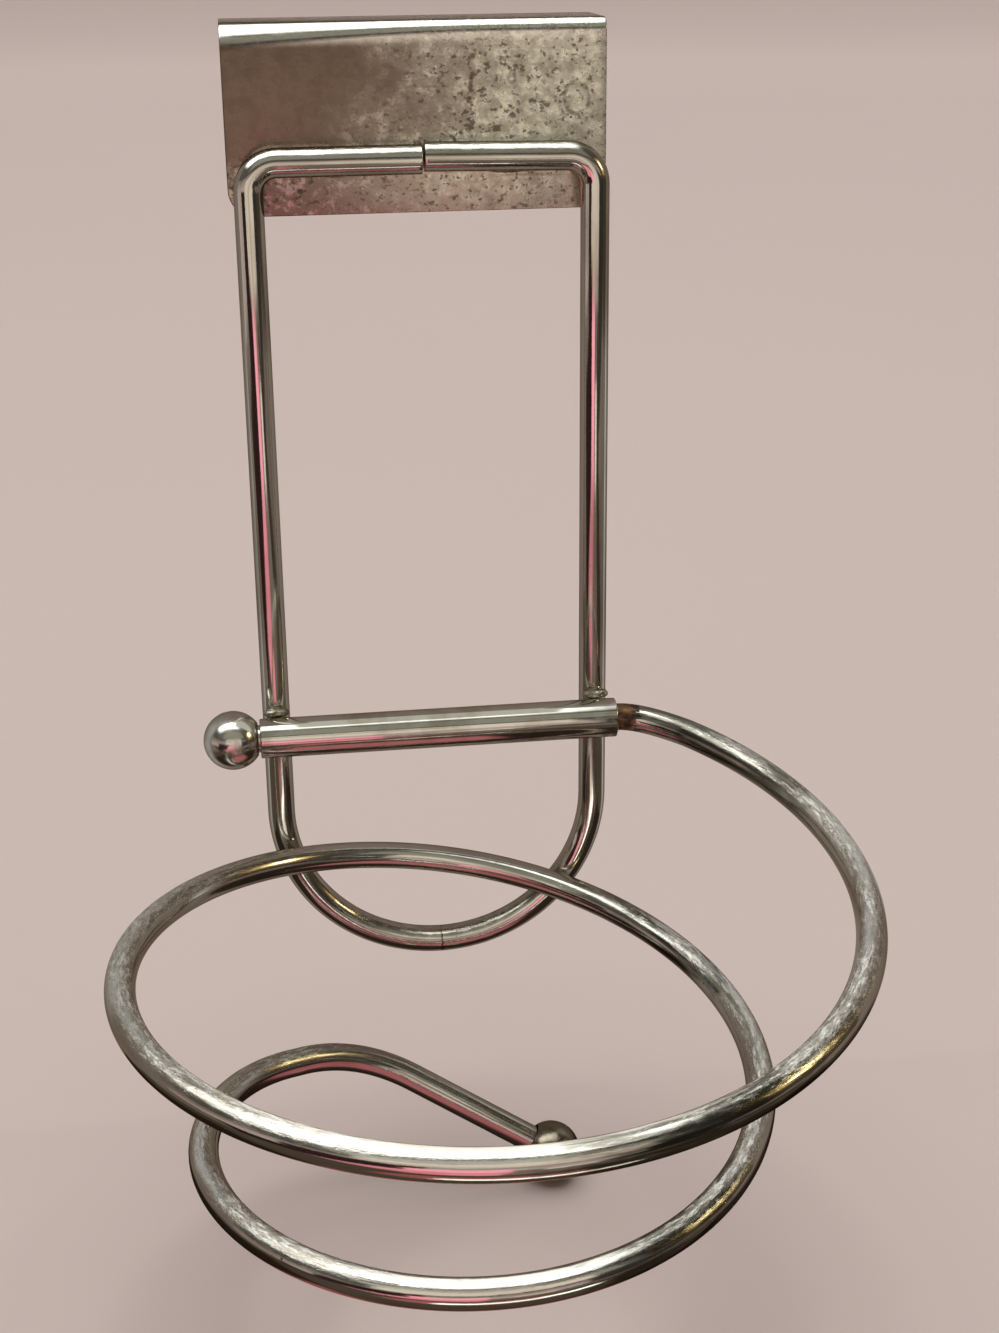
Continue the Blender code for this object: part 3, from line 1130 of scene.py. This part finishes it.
@dataclass
class HookPlate:
    """The folded sheet hook that the holder hangs by.

    Bends are radii in the middle of the sheet. The front one opens towards the left end.
    """

    sizes: Sizes
    width: float = 0.0648
    offset: float = -0.0005
    back_bend: float = 0.0030
    left_bend: float = 0.0040
    right_bend: float = 0.0015
    opening_share: float = 0.75
    bend_steps: int = 10
    columns: int = 27
    corner: float = 0.0045
    leg_below_bar: float = 0.0092
    back_leg: float = 0.0302
    edge: float = 0.00018

    def open_bend(self, plate: Thing, side: float, top: float) -> None:
        """Cut the front bend into columns and size each one, wider towards the hook's left end.

        Args:
            plate: the folded strip.
            side: how far its legs lie in front of and behind the seat's middle.
            top: its height over the seat.
        """

        def on_bend(place: Vector) -> bool:
            """Say whether a place lies on the front bend."""
            return place.y < self.back_bend - side + NEAR and place.z > top - self.back_bend - NEAR

        pick(plate, Element.EDGE, lambda a, b: abs(a.x - b.x) > self.width / 2 and on_bend(a) and on_bend(b))
        bpy.ops.mesh.subdivide(number_cuts=self.columns - 1)
        shares = np.linspace(0, 1, self.columns + 1)
        opening = np.clip(1 - shares / self.opening_share, 0, 1) ** 2
        bends = self.right_bend + (self.left_bend - self.right_bend) * opening
        for share, bend in zip(shares, bends):
            x = float(self.offset + (share - 0.5) * self.width)
            pick(plate, Element.VERT, lambda place: abs(place.x - x) < NEAR and on_bend(place))
            size = bend / self.back_bend
            bpy.ops.transform.resize(value=(1, size, size), center_override=(0, -side, top))

    def fold(self, move_y: float, move_z: float, centre_y: float, centre_z: float) -> None:
        """Bend the picked edge over by a quarter turn and draw it on.

        Args:
            move_y: how far the sheet then runs back.
            move_z: how far it then runs up.
            centre_y: how far back the bend's centre lies.
            centre_z: the height of the bend's centre.
        """
        bpy.ops.mesh.spin(
            steps=self.bend_steps, angle=math.pi / 2, center=(0, centre_y, centre_z), axis=(1, 0, 0)
        )
        bpy.ops.mesh.extrude_region_move(TRANSFORM_OT_translate={"value": (0, move_y, move_z)})

    def build(self) -> Thing:
        """Fold a strip over the seat, round its feet and give it its thickness.

        Returns:
            The folded sheet.
        """
        sheet = self.sizes.sheet
        side = self.sizes.slot_half + sheet / 2
        bend = self.back_bend
        top = sheet / 2
        foot = self.sizes.bar_z - self.leg_below_bar
        start = top - bend
        deselect()
        bpy.ops.mesh.primitive_plane_add(
            size=1.0, location=(self.offset, -side, (foot + start) / 2), rotation=(math.pi / 2, 0, 0)
        )
        bpy.context.object.scale = (self.width, start - foot, 1.0)
        plate = take("hook_sheet_plate")
        pick(plate, Element.EDGE, lambda a, b: min(a.z, b.z) > start - NEAR)
        self.fold(2 * (side - bend), 0, bend - side, start)
        self.fold(0, -self.back_leg - start, side - bend, start)
        bpy.ops.mesh.select_all(action="SELECT")
        bpy.ops.mesh.remove_doubles(threshold=NEAR)
        self.open_bend(plate, side, top)
        lowest = max(foot, -self.back_leg) + NEAR
        pick(plate, Element.VERT, lambda place: place.z < lowest)
        bpy.ops.mesh.bevel(offset=self.corner, segments=12, profile=0.5, affect="VERTICES")
        face_outwards()
        apply_modifier(plate, "SOLIDIFY", thickness=sheet, offset=0.0, use_even_offset=True)
        apply_modifier(
            plate, "BEVEL", width=self.edge, segments=3, limit_method="ANGLE", angle_limit=math.radians(50)
        )
        finish_mesh(plate, math.radians(30))
        return plate

    def dress(self) -> Thing:
        """Build the plate and give it its tarnish and painted reflections."""
        # The sheet's finish holds real tarnish and painted reflections
        finish = TarnishAndReflectionSheet("tarnish_and_reflection_sheet")
        return fit_piece(self.build(), Body.HANGER, Slot.HOOK, finish.make(), "hook_plate")


@dataclass
class FrameLoop:
    """The frame: one rod bent to a loop with a round bottom, its ends butted in its top bar."""

    sizes: Sizes
    corner: float = 0.0048
    upright_below_tube: float = 0.0173
    seam_gap: float = 0.0004
    seam_step: float = 0.0004
    corner_steps: int = 24
    bottom_steps: int = 120
    pitch: float = 0.0007
    rim: float = 0.0001
    gloss: float = 0.06
    rub: float = 0.45
    rub_facing: Pair = (0.1, 0.9)

    def path(self) -> np.ndarray:
        """Lay out the rod's centre line, from the seam round to the seam again.

        Returns:
            Its points, a row each.
        """
        half = self.sizes.frame_width / 2
        bar = self.sizes.bar_z
        bottom = self.sizes.tube_z - self.upright_below_tube
        middle, under = half - self.corner, bar - self.corner
        right = arc((middle, under), self.corner, math.pi / 2, 0, self.corner_steps)
        round_bottom = arc((0, bottom), half, 0, -math.pi, self.bottom_steps)
        left = arc((-middle, under), self.corner, math.pi, math.pi / 2, self.corner_steps)
        first = (self.seam_gap / 2, bar + self.seam_step)
        last = (-self.seam_gap / 2, bar)
        line = [first, *right, *round_bottom, *left, last]
        return np.array([(x, self.sizes.frame_y, z) for x, z in line])

    def dress(self) -> Thing:
        """Build the loop, mark where it is rubbed and give it its chrome.

        Returns:
            The dressed rod.
        """
        stock = BentRod(
            "frame_chrome_rod", self.path(), self.sizes.rod / 2, pitch=self.pitch, rim=self.rim
        )
        rod = stock.build()
        up = normals_of(rod)[:, 2]
        keep_values(rod, "rub", self.rub * smooth_step(up, *self.rub_facing))
        finish = RodChrome("frame_rod_chrome", gloss=self.gloss, dark_ring=stock.length() / 2)
        return fit_piece(rod, Body.HANGER, Slot.FRAME, finish.make(), "frame_rod")


@dataclass
class HingeSleeve:
    """The tube across the frame's front, in which the spiral's rod turns."""

    sizes: Sizes
    sides: int = 72
    rim: float = 0.00025
    gloss: float = 0.06
    rust_reach: float = 0.0036
    rust_drop: float = 0.4

    def build(self) -> Thing:
        """Cut a bore through a cylinder and ease its rims.

        Returns:
            The tube.
        """
        size = self.sizes
        end = size.tube_length / 2
        axis = Vector((0, size.tube_y, size.tube_z))
        tube = add_bar("hinge_sleeve", self.sides, size.tube_radius, size.tube_length, axis)
        pick(tube, Element.FACE, lambda middle, normal: abs(normal.x) > 0.9)
        bpy.ops.mesh.inset(thickness=size.tube_wall, use_individual=True)
        bpy.ops.mesh.delete(type="FACE")

        def on_bore(place: Vector) -> bool:
            """Say whether a place lies on the bore's rim."""
            return (place - axis - Vector((place.x, 0, 0))).length < size.tube_radius - size.tube_wall / 2

        pick(tube, Element.EDGE, lambda a, b: on_bore(a) and on_bore(b))
        bpy.ops.mesh.bridge_edge_loops()
        pick(tube, Element.EDGE, lambda a, b: abs(a.x - b.x) < end and not on_bore(a) and not on_bore(b))
        ease_edges(self.rim)
        face_outwards()
        finish_mesh(tube)
        return tube

    def dress(self) -> Thing:
        """Build the tube and give it its chrome, rusty at the mouth where the rod comes out.

        Returns:
            The dressed tube.
        """
        size = self.sizes
        mouth = (size.tube_length / 2, size.tube_y, size.tube_z - size.tube_radius * self.rust_drop)
        finish = TurnedChrome(
            "tube_chrome_plate", gloss=self.gloss, rust_place=mouth, rust_reach=self.rust_reach
        )
        return fit_piece(self.build(), Body.HANGER, Slot.TUBE, finish.make(), "hinge_tube")


@dataclass
class WeldBeads:
    """The beads that join the frame to the tube and to the hook."""

    sizes: Sizes
    tube_bead: Place = (0.0025, 0.0013, 0.0010)
    plate_bead: Place = (0.0042, 0.0009, 0.0007)
    ripple_length: float = 0.0016
    ripple_share: float = 5 / 24
    ripple_level: float = 0.75

    def place_of(self, weld: Weld) -> Place:
        """Find the middle of a bead.

        Args:
            weld: which bead.

        Returns:
            Its place.
        """
        size = self.sizes
        if weld.on_tube:
            back = size.frame_y - size.rod / 2 - self.tube_bead[1] / 2
            return (weld.side * size.frame_width / 2, back, size.tube_z + size.tube_radius)
        back = size.plate_y - size.gap - self.plate_bead[1] / 2
        return (weld.side * size.frame_width / 4, back, size.bar_z - size.rod / 2 + size.gap)

    def build(self, weld: Weld) -> Thing:
        """Raise ripples on a flattened ball and set it in its corner.

        Args:
            weld: which bead.

        Returns:
            The bead.
        """
        half = self.tube_bead if weld.on_tube else self.plate_bead
        deselect()
        bpy.ops.mesh.primitive_ico_sphere_add(subdivisions=5, radius=1.0, location=self.place_of(weld))
        bpy.context.object.scale = half
        bead = take(f"{weld.value}_bead")
        ripples = bpy.data.textures.new(bead.name, "CLOUDS")
        ripples.noise_scale = self.ripple_length
        ripples.noise_depth = 1
        apply_modifier(
            bead,
            "DISPLACE",
            texture=ripples,
            texture_coords="LOCAL",
            strength=self.ripple_share * half[1],
            mid_level=self.ripple_level,
        )
        bpy.data.textures.remove(ripples)
        finish_mesh(bead)
        return bead

    def dress(self) -> list[Thing]:
        """Build the four beads and give them one finish."""
        finish = WeldMetal("plated_weld").make()
        return [fit_piece(self.build(weld), Body.HANGER, Slot.WELD, finish, weld.value) for weld in Weld]


@dataclass
class SpiralCradle:
    """The spiral rod that turns in the tube, and the ball on each of its ends.

    The loops' radius follows a smooth curve through the radii at the turns. Films are
    places along the rod and half lengths.
    """

    sizes: Sizes
    turns: tuple[float, ...] = (0.1234, 0.4, 0.75, 1.1, 1.45, 1.8273)
    radii: tuple[float, ...] = (0.06911, 0.06889, 0.04828, 0.05111, 0.05722, 0.0284)
    drift_across: float = 0.00391
    drift_back: float = 0.00905
    drop: float = 0.04022
    drop_easing: float = 0.0032
    lean_across: float = -0.0716
    lean_back: float = 0.0781
    bend_overhang: float = 0.0045
    bend_reach: float = 0.004
    bend_steps: int = 24
    tail_reach: float = 0.013
    tail_length: float = 0.043
    tail_heading: float = math.radians(-9.0)
    tail_dip: float = math.radians(31.4)
    tail_steps: int = 36
    rest_angle: float = math.radians(-0.14)
    chords_per_turn: int = 48
    parts_per_chord: int = 5
    socket_rim: float = 0.00012
    films: tuple[Pair, ...] = ((0.094, 0.022), (0.207, 0.026), (0.462, 0.021), (0.547, 0.019))
    rust_beyond_tube: float = 0.001
    rod_gloss: float = 0.08
    ball_gloss: float = 0.14
    worn_gloss: float = 0.20
    # Painted shade and tarnish: the tip ball's darker colours, as it hangs under the front loop
    shaded_worn: Colour = (0.25, 0.225, 0.175)
    shaded_worn_dull: Colour = (0.20, 0.17, 0.125)
    ball_grain: Place = (420.0, 420.0, 420.0)
    rub_middle: float = 0.003
    rub_aside: Pair = (0.012, 0.034)
    rub_between: float = 0.25
    rub_ahead: Pair = (0.004, 0.020)
    rub_behind: float = 0.4
    rub_facing: Pair = (0.4, 0.92)

    def loops(self) -> np.ndarray:
        """Lay out the loops' centre line, seen from the hinge's middle.

        Returns:
            Its points, a row each.
        """
        first, last = self.turns[0], self.turns[-1]
        chords = round((last - first) * self.chords_per_turn)
        turn = np.linspace(first, last, chords * self.parts_per_chord + 1)
        radius = np.polyval(np.polyfit(self.turns, self.radii, len(self.turns) - 1), turn)
        angle = math.pi / 2 - 2 * math.pi * turn
        across, back = radius * np.cos(angle), radius * np.sin(angle)
        lean = self.lean_across * across + self.lean_back * back
        rise = lean - self.drop * turn + self.drop_easing * turn**2
        rows = np.stack([across + self.drift_across * turn, back + self.drift_back * turn, rise], axis=1)
        return rows - rows[0] + np.array([self.sizes.tube_length / 2 + self.bend_overhang, 0, 0])

    def placed(self, rows: np.ndarray) -> np.ndarray:
        """Turn rows to the resting angle and move them to the hinge.

        Args:
            rows: places seen from the hinge's middle.

        Returns:
            The places at rest.
        """
        cos, sin = math.cos(self.rest_angle), math.sin(self.rest_angle)
        back, up = rows[..., 1], rows[..., 2]
        turned = np.stack([rows[..., 0], cos * back + sin * up, cos * up - sin * back], axis=-1)
        return turned + np.array([0, self.sizes.tube_y, self.sizes.tube_z])

    def path(self) -> tuple[np.ndarray, np.ndarray]:
        """Lay out the rod's whole centre line.

        Returns:
            Its points at rest, and the direction of its straight tail.
        """
        gap = self.sizes.gap
        loops = self.loops()
        ball_end = np.array([[self.sizes.ball_x + gap, 0, 0]])
        tube_side = loops[0] - np.array([self.bend_reach, 0, 0])
        chords = loops[:: self.parts_per_chord]
        reached = np.linalg.norm(chords - loops[0], axis=1) >= self.bend_reach
        kept = self.parts_per_chord * int(np.argmax(reached))
        start_bend = rounded(tube_side, loops[0], loops[kept], self.bend_steps)
        heading = (chords[-1] - chords[-2]) / np.linalg.norm(chords[-1] - chords[-2])
        corner = loops[-1] + heading * self.tail_reach
        flat, dip = math.cos(self.tail_dip), math.sin(self.tail_dip)
        tail = np.array([flat * math.cos(self.tail_heading), flat * math.sin(self.tail_heading), -dip])
        tail_bend = rounded(loops[-1], corner, corner + tail * self.tail_reach, self.tail_steps)
        tip = (corner + tail * (self.tail_length - gap))[None, :]
        rows = np.vstack([ball_end, start_bend, loops[kept + 1 : -1], tail_bend, tip])
        return self.placed(rows), self.placed(tail) - self.placed(np.zeros(3))

    def ball(self, name: str, place: np.ndarray, outward: np.ndarray) -> Thing:
        """Cut a socket into a ball and ease its rim.

        Args:
            name: the piece's name.
            place: the ball's middle.
            outward: the direction away from its socket.

        Returns:
            The ball.
        """
        mouth = -self.sizes.ball_mouth
        deselect()
        bpy.ops.mesh.primitive_uv_sphere_add(segments=72, ring_count=48, radius=self.sizes.ball / 2)
        ball = take(name)
        pick(ball, Element.FACE, lambda middle, normal: True)
        bpy.ops.mesh.bisect(plane_co=(0, 0, mouth), plane_no=(0, 0, -1), clear_outer=True, threshold=NEAR)
        pick(ball, Element.EDGE, lambda a, b: max(a.z, b.z) < mouth + NEAR)
        bpy.ops.mesh.extrude_region_move(TRANSFORM_OT_translate={"value": (0, 0, -mouth)})
        bpy.ops.mesh.edge_face_add()
        pick(ball, Element.EDGE, lambda a, b: abs(a.z - mouth) < NEAR and abs(b.z - mouth) < NEAR)
        ease_edges(self.socket_rim, segments=2)
        face_outwards()
        deselect()
        turn = Vector(outward).to_track_quat("Z", "Y").to_matrix().to_4x4()
        ball.data.transform(Matrix.Translation(place) @ turn)
        finish_mesh(ball, math.radians(40))
        return ball

    def rubbed(self, rod: Thing) -> np.ndarray:
        """Find how rubbed each vertex is: most on the upper side of the loops' left and right.

        Args:
            rod: the bent rod.

        Returns:
            0 to 1 for each vertex.
        """
        place, up = points_of(rod), normals_of(rod)[:, 2]
        aside = smooth_step(np.abs(place[:, 0] - self.rub_middle), *self.rub_aside)
        ahead = smooth_step(self.sizes.tube_y - place[:, 1], *self.rub_ahead)
        across = self.rub_between + (1 - self.rub_between) * aside
        along = self.rub_behind + (1 - self.rub_behind) * ahead
        return smooth_step(up, *self.rub_facing) * across * along

    def dress(self) -> list[Thing]:
        """Build the rod and its balls, and give them their chrome.

        Returns:
            The dressed pieces.
        """
        line, tail = self.path()
        rod = BentRod("spiral_chrome_rod", line, self.sizes.rod / 2).build()
        keep_values(rod, "rub", self.rubbed(rod))
        tube_end = self.sizes.tube_length / 2 - self.sizes.ball_x - self.sizes.gap
        rust = tube_end + self.rust_beyond_tube
        chrome = RodChrome("spiral_rod_chrome", gloss=self.rod_gloss, rust_middle=rust, films=self.films)
        pieces = [fit_piece(rod, Body.SPIRAL, Slot.SPIRAL, chrome.make(), "spiral_rod")]
        bright = TurnedChrome("ball_chrome_plate", self.ball_grain, gloss=self.ball_gloss)
        # The tip ball's plating is darker: partly tarnish, partly painted shade
        shaded_worn = TurnedChrome(
            "ball_shaded_worn_plate", self.ball_grain, self.shaded_worn, self.shaded_worn_dull, gloss=self.worn_gloss
        )
        hinge = self.placed(np.array([self.sizes.ball_x, 0.0, 0.0]))
        ends = {
            "hinge_ball": (hinge, np.array([-1.0, 0.0, 0.0]), bright),
            "tip_ball": (line[-1] + tail * self.sizes.gap, tail, shaded_worn),
        }
        for node, (place, outward, finish) in ends.items():
            ball = self.ball(f"{node}_bright", place, outward)
            pieces.append(fit_piece(ball, Body.SPIRAL, Slot.BALL, finish.make(), node))
        return pieces


# Studio


@dataclass(frozen=True)
class OpenSky:
    """One very wide light from far above, even over the whole floor, that polished metal doesn't mirror."""

    name: str
    toward: Place
    strength: float
    angle: float
    tint: Colour = (1.0, 0.985, 0.96)

    def make(self) -> None:
        """Hang the light."""
        lamp = bpy.data.lights.new(self.name, "SUN")
        lamp.energy = self.strength
        lamp.angle = self.angle
        lamp.color = self.tint
        light = bpy.data.objects.new(self.name, lamp)
        light.rotation_euler = Vector(self.toward).to_track_quat("Z", "Y").to_euler()
        light.visible_glossy = False
        bpy.context.scene.collection.objects.link(light)


@dataclass(frozen=True)
class Card:
    """A plain card that only polished metal mirrors, as a studio's flags and reflectors do."""

    name: str
    low: Place
    high: Place
    tone: Colour
    fade: float = 0.0

    @classmethod
    def level(cls, name: str, up: float, x: Pair, y: Pair, tone: Colour, fade: float = 0.0) -> "Card":
        """A card that lies level at a height."""
        return cls(name, (x[0], y[0], up), (x[1], y[1], up), tone, fade)

    @classmethod
    def across(cls, name: str, back: float, x: Pair, z: Pair, tone: Colour, fade: float = 0.0) -> "Card":
        """A card that stands across the view."""
        return cls(name, (x[0], back, z[0]), (x[1], back, z[1]), tone, fade)

    @classmethod
    def aside(cls, name: str, right: float, y: Pair, z: Pair, tone: Colour, fade: float = 0.0) -> "Card":
        """A card that stands at one side."""
        return cls(name, (right, y[0], z[0]), (right, y[1], z[1]), tone, fade)

    def make(self) -> None:
        """Stand the card between its two corners, out of the camera's sight and clear from behind."""
        deselect()
        low, high = Vector(self.low), Vector(self.high)
        middle = (low + high) / 2
        thin = min(range(3), key=lambda axis: high[axis] - low[axis])
        facing = Vector((0, 0, 0))
        facing[thin] = 1.0 if middle[thin] < OBJECT_MIDDLE[thin] else -1.0
        turn = facing.to_track_quat("Z", "Y")
        bpy.ops.mesh.primitive_plane_add(size=1.0, location=middle, rotation=turn.to_euler())
        spread = turn.inverted() @ (high - low)
        bpy.context.object.scale = (abs(spread.x), abs(spread.y), 1.0)
        card = take(self.name)
        card.data.materials.append(self.paint())
        card.visible_camera = False
        card.visible_diffuse = False
        card.visible_shadow = False

    def cover(self, tree: ShaderTree) -> Number:
        """Show how much of the card there is: all in its middle and none at its edges.

        Args:
            tree: the material's nodes.

        Returns:
            0 to 1 over the card.
        """
        cover: Number = 1.0
        for at, low, high in zip(tree.axes(tree.object_place()), self.low, self.high):
            if high > low:
                off = tree.apart(at, (low + high) / 2)
                half = (high - low) / 2
                cover = tree.times(cover, tree.band(off, half, half - self.fade))
        return cover

    def paint(self) -> bpy.types.Material:
        """Paint the card's front with a glow of its tone, and leave its back clear.

        Returns:
            The material.
        """
        tree = ShaderTree(self.name)
        tree.set("Base Color", (0.0, 0.0, 0.0))
        tree.set("Specular IOR Level", 0.0)
        tree.set("Emission Color", self.tone)
        tree.set("Emission Strength", 1.0)
        ahead = tree.rest_of(tree.add("ShaderNodeNewGeometry").outputs["Backfacing"])
        tree.set("Alpha", tree.times(ahead, self.cover(tree)) if self.fade > 0 else ahead)
        tree.material.cycles.emission_sampling = "NONE"
        return tree.material


@dataclass
class Studio:
    """Plain pale floor, soft lights and the camera at the photograph's angle."""

    floor_drop: float = 0.0001
    floor_tone: Colour = (0.70, 0.59, 0.56)
    floor_shade: float = 0.97
    flat_radius: float = 3.0
    cove_radius: float = 1.2
    cove_steps: int = 12
    air: Colour = (0.12, 0.115, 0.10)
    card_lift: float = 0.001
    card_step: float = 0.0005
    camera_place: Place = (-0.03322, -0.35722, 0.01814)
    yaw: float = -0.130824
    pitch: float = 0.361688
    roll: float = -0.0114165
    focal_pixels: float = 2000.0
    long_side_pixels: float = 1333.0
    sensor_millimetres: float = 36.0

    @property
    def floor_z(self) -> float:
        """The floor's height, a hair under the holder."""
        return CAD_BOX[0].z - self.floor_drop

    def floor(self) -> None:
        """Lay a round floor whose edge curves up all round."""
        deselect()
        bpy.ops.mesh.primitive_circle_add(
            vertices=96, radius=self.flat_radius, fill_type="NGON", location=(0, 0, self.floor_z)
        )
        floor = take("pale_floor")
        pick(floor, Element.EDGE, lambda a, b: True)
        radius, rise = self.flat_radius, 0.0
        for step in range(1, self.cove_steps + 1):
            angle = math.pi / 2 * step / self.cove_steps
            wide = self.flat_radius + self.cove_radius * math.sin(angle)
            high = self.cove_radius * (1 - math.cos(angle))
            bpy.ops.mesh.extrude_edges_move(TRANSFORM_OT_translate={"value": (0, 0, high - rise)})
            middle = (0, 0, self.floor_z + high)
            bpy.ops.transform.resize(value=(wide / radius, wide / radius, 1.0), center_override=middle)
            radius, rise = wide, high
        finish_mesh(floor, math.radians(60))
        tree = ShaderTree("pale_floor_paint")
        cloud = tree.noise(tree.object_place(), 3.0)
        darker = tuple(self.floor_shade * part for part in self.floor_tone)
        tree.set("Base Color", tree.blend(cloud, self.floor_tone, darker))
        tree.set("Roughness", 0.75)
        floor.data.materials.append(tree.material)

    def cards(self) -> list[Card]:
        """Lay out the cards that polished metal mirrors, in thin layers where they lie on the floor.

        Returns:
            The cards overhead, behind, in front, to the right and on the floor.
        """
        low = self.floor_z + self.card_lift
        layer = [low + count * self.card_step for count in range(8)]
        overhead = [
            Card.level("sky_card", 1.0, (-1.50, 0.65), (-0.65, 1.0), (3.4, 3.4, 3.3), 0.42),
            Card.level("tube_flag", -0.09, (-0.033, 0.033), (-0.032, -0.0088), (0.66, 0.65, 0.58), 0.003),
            Card.level("bounce_card", -0.06, (-0.14, 0.03), (-0.24, -0.165), (0.62, 0.61, 0.54), 0.015),
        ]
        behind = [
            Card.across("back_card", -0.0088, (-0.5, 0.5), (low, -0.0004), (0.27, 0.22, 0.19)),
            Card.across("left_glow", -0.0091, (-0.135, -0.034), (-0.18, -0.04), (0.48, 0.475, 0.46), 0.03),
            Card.across("right_glow", -0.0091, (0.034, 0.135), (-0.18, -0.04), (0.66, 0.66, 0.65), 0.03),
            Card.across("rim_card", -0.058, (-0.045, 0.045), (-0.155, -0.05), (1.7, 1.7, 1.65), 0.015),
        ]
        in_front = [
            Card.across("front_bounce", -1.6, (-1.5, 1.5), (0.80, 2.4), (0.36, 0.35, 0.29)),
            Card.across("cream_card", -0.30, (-0.20, 0.14), (-0.10, 0.02), (0.98, 0.85, 0.72), 0.010),
            Card.across("rose_card", -0.45, (-0.205, -0.015), (low, -0.125), (1.50, 0.56, 0.70), 0.006),
            Card.across("low_cream", -0.45, (0.030, 0.130), (low, -0.155), (1.00, 0.86, 0.76), 0.006),
            Card.across("dark_card", -0.47, (-0.75, -0.17), (low, -0.06), (0.035, 0.018, 0.017)),
            Card.across("shade_card", -0.47, (0.22, 0.75), (low, 0.0), (0.05, 0.045, 0.04)),
        ]
        to_right = [
            Card.aside("lamp_card", 0.75, (-0.34, -0.15), (0.12, 0.35), (9.0, 7.8, 4.6), 0.06),
            Card.aside("gold_card", 0.76, (-0.46, -0.02), (0.00, 0.45), (0.80, 0.52, 0.17), 0.10),
            Card.aside("dusk_card", 0.78, (-0.70, 0.40), (low, 0.60), (0.085, 0.065, 0.045)),
        ]
        on_floor = [
            Card.level("floor_card", low, (-0.8, 0.8), (-1.0, 0.8), (0.24, 0.185, 0.155)),
            Card.level("rose_strip", layer[2], (-0.205, -0.015), (-0.45, -0.16), (1.10, 0.38, 0.46)),
            Card.level("dark_strip", layer[2], (-0.62, -0.19), (-0.47, -0.15), (0.035, 0.018, 0.017)),
            Card.level("right_strip", layer[2], (0.17, 0.30), (-0.80, -0.15), (0.06, 0.045, 0.035)),
            Card.level("near_floor", layer[4], (-0.22, 0.22), (-0.24, -0.01), (0.10, 0.075, 0.055), 0.02),
            Card.level("under_card", layer[5], (-0.13, 0.13), (-0.11, -0.01), (0.035, 0.022, 0.017)),
            Card.level("near_rose", layer[6], (-0.06, 0.035), (-0.195, -0.14), (0.52, 0.16, 0.16), 0.012),
            Card.level("tail_rose", layer[6], (-0.05, 0.032), (-0.11, -0.042), (0.50, 0.17, 0.18), 0.010),
            Card.level("glint_strip", layer[7], (-0.03, 0.046), (-0.164, -0.147), (2.6, 2.6, 2.4), 0.004),
        ]
        return overhead + behind + in_front + to_right + on_floor

    def lights(self) -> None:
        """Hang the soft lights and stand the cards."""
        world = bpy.data.worlds.new("studio_air")
        world.use_nodes = True
        back = world.node_tree.nodes["Background"]
        back.inputs["Color"].default_value = (*self.air, 1.0)
        back.inputs["Strength"].default_value = 1.0
        bpy.context.scene.world = world
        bpy.context.scene.view_settings.view_transform = "Standard"
        OpenSky("floor_light", toward=(0.0, 0.3, 1.0), strength=2.3, angle=math.radians(62)).make()
        for card in self.cards():
            card.make()

    def camera(self) -> None:
        """Stand the camera where the photograph was taken."""
        cy, sy = math.cos(self.yaw), math.sin(self.yaw)
        cp, sp = math.cos(self.pitch), math.sin(self.pitch)
        cr, sr = math.cos(self.roll), math.sin(self.roll)
        level = np.array([[1, 0, 0], [0, 0, -1], [0, 1, 0]], float)
        turned = np.array([[cy, sy, 0], [-sy, cy, 0], [0, 0, 1]])
        tilted = np.array([[1, 0, 0], [0, cp, -sp], [0, sp, cp]])
        rolled = np.array([[cr, -sr, 0], [sr, cr, 0], [0, 0, 1]])
        right, down, ahead = rolled @ tilted @ level @ turned
        data = bpy.data.cameras.new("photo_camera")
        data.sensor_width = self.sensor_millimetres
        data.lens = self.focal_pixels * self.sensor_millimetres / self.long_side_pixels
        data.clip_start, data.clip_end = 0.01, 50.0
        camera = bpy.data.objects.new("photo_camera", data)
        matrix = Matrix([(*row, 0.0) for row in np.column_stack([right, -down, -ahead])] + [(0, 0, 0, 1)])
        matrix.translation = self.camera_place
        camera.matrix_world = matrix
        bpy.context.scene.collection.objects.link(camera)
        bpy.context.scene.camera = camera

    def set_up(self) -> None:
        """Lay the floor, hang the lights and stand the camera."""
        self.floor()
        self.lights()
        self.camera()


def main() -> None:
    """Build and dress every piece, then the studio, and report the pieces."""
    logging.basicConfig(level=logging.INFO, format="%(name)s: %(message)s")
    sizes = Sizes()
    pieces = [
        HookPlate(sizes).dress(),
        FrameLoop(sizes).dress(),
        HingeSleeve(sizes).dress(),
        *WeldBeads(sizes).dress(),
        *SpiralCradle(sizes).dress(),
    ]
    for piece in pieces:
        LOG.info("%s: %d faces", piece.name, len(piece.data.polygons))
    Studio().set_up()
    deselect()


if __name__ == "__main__":
    main()
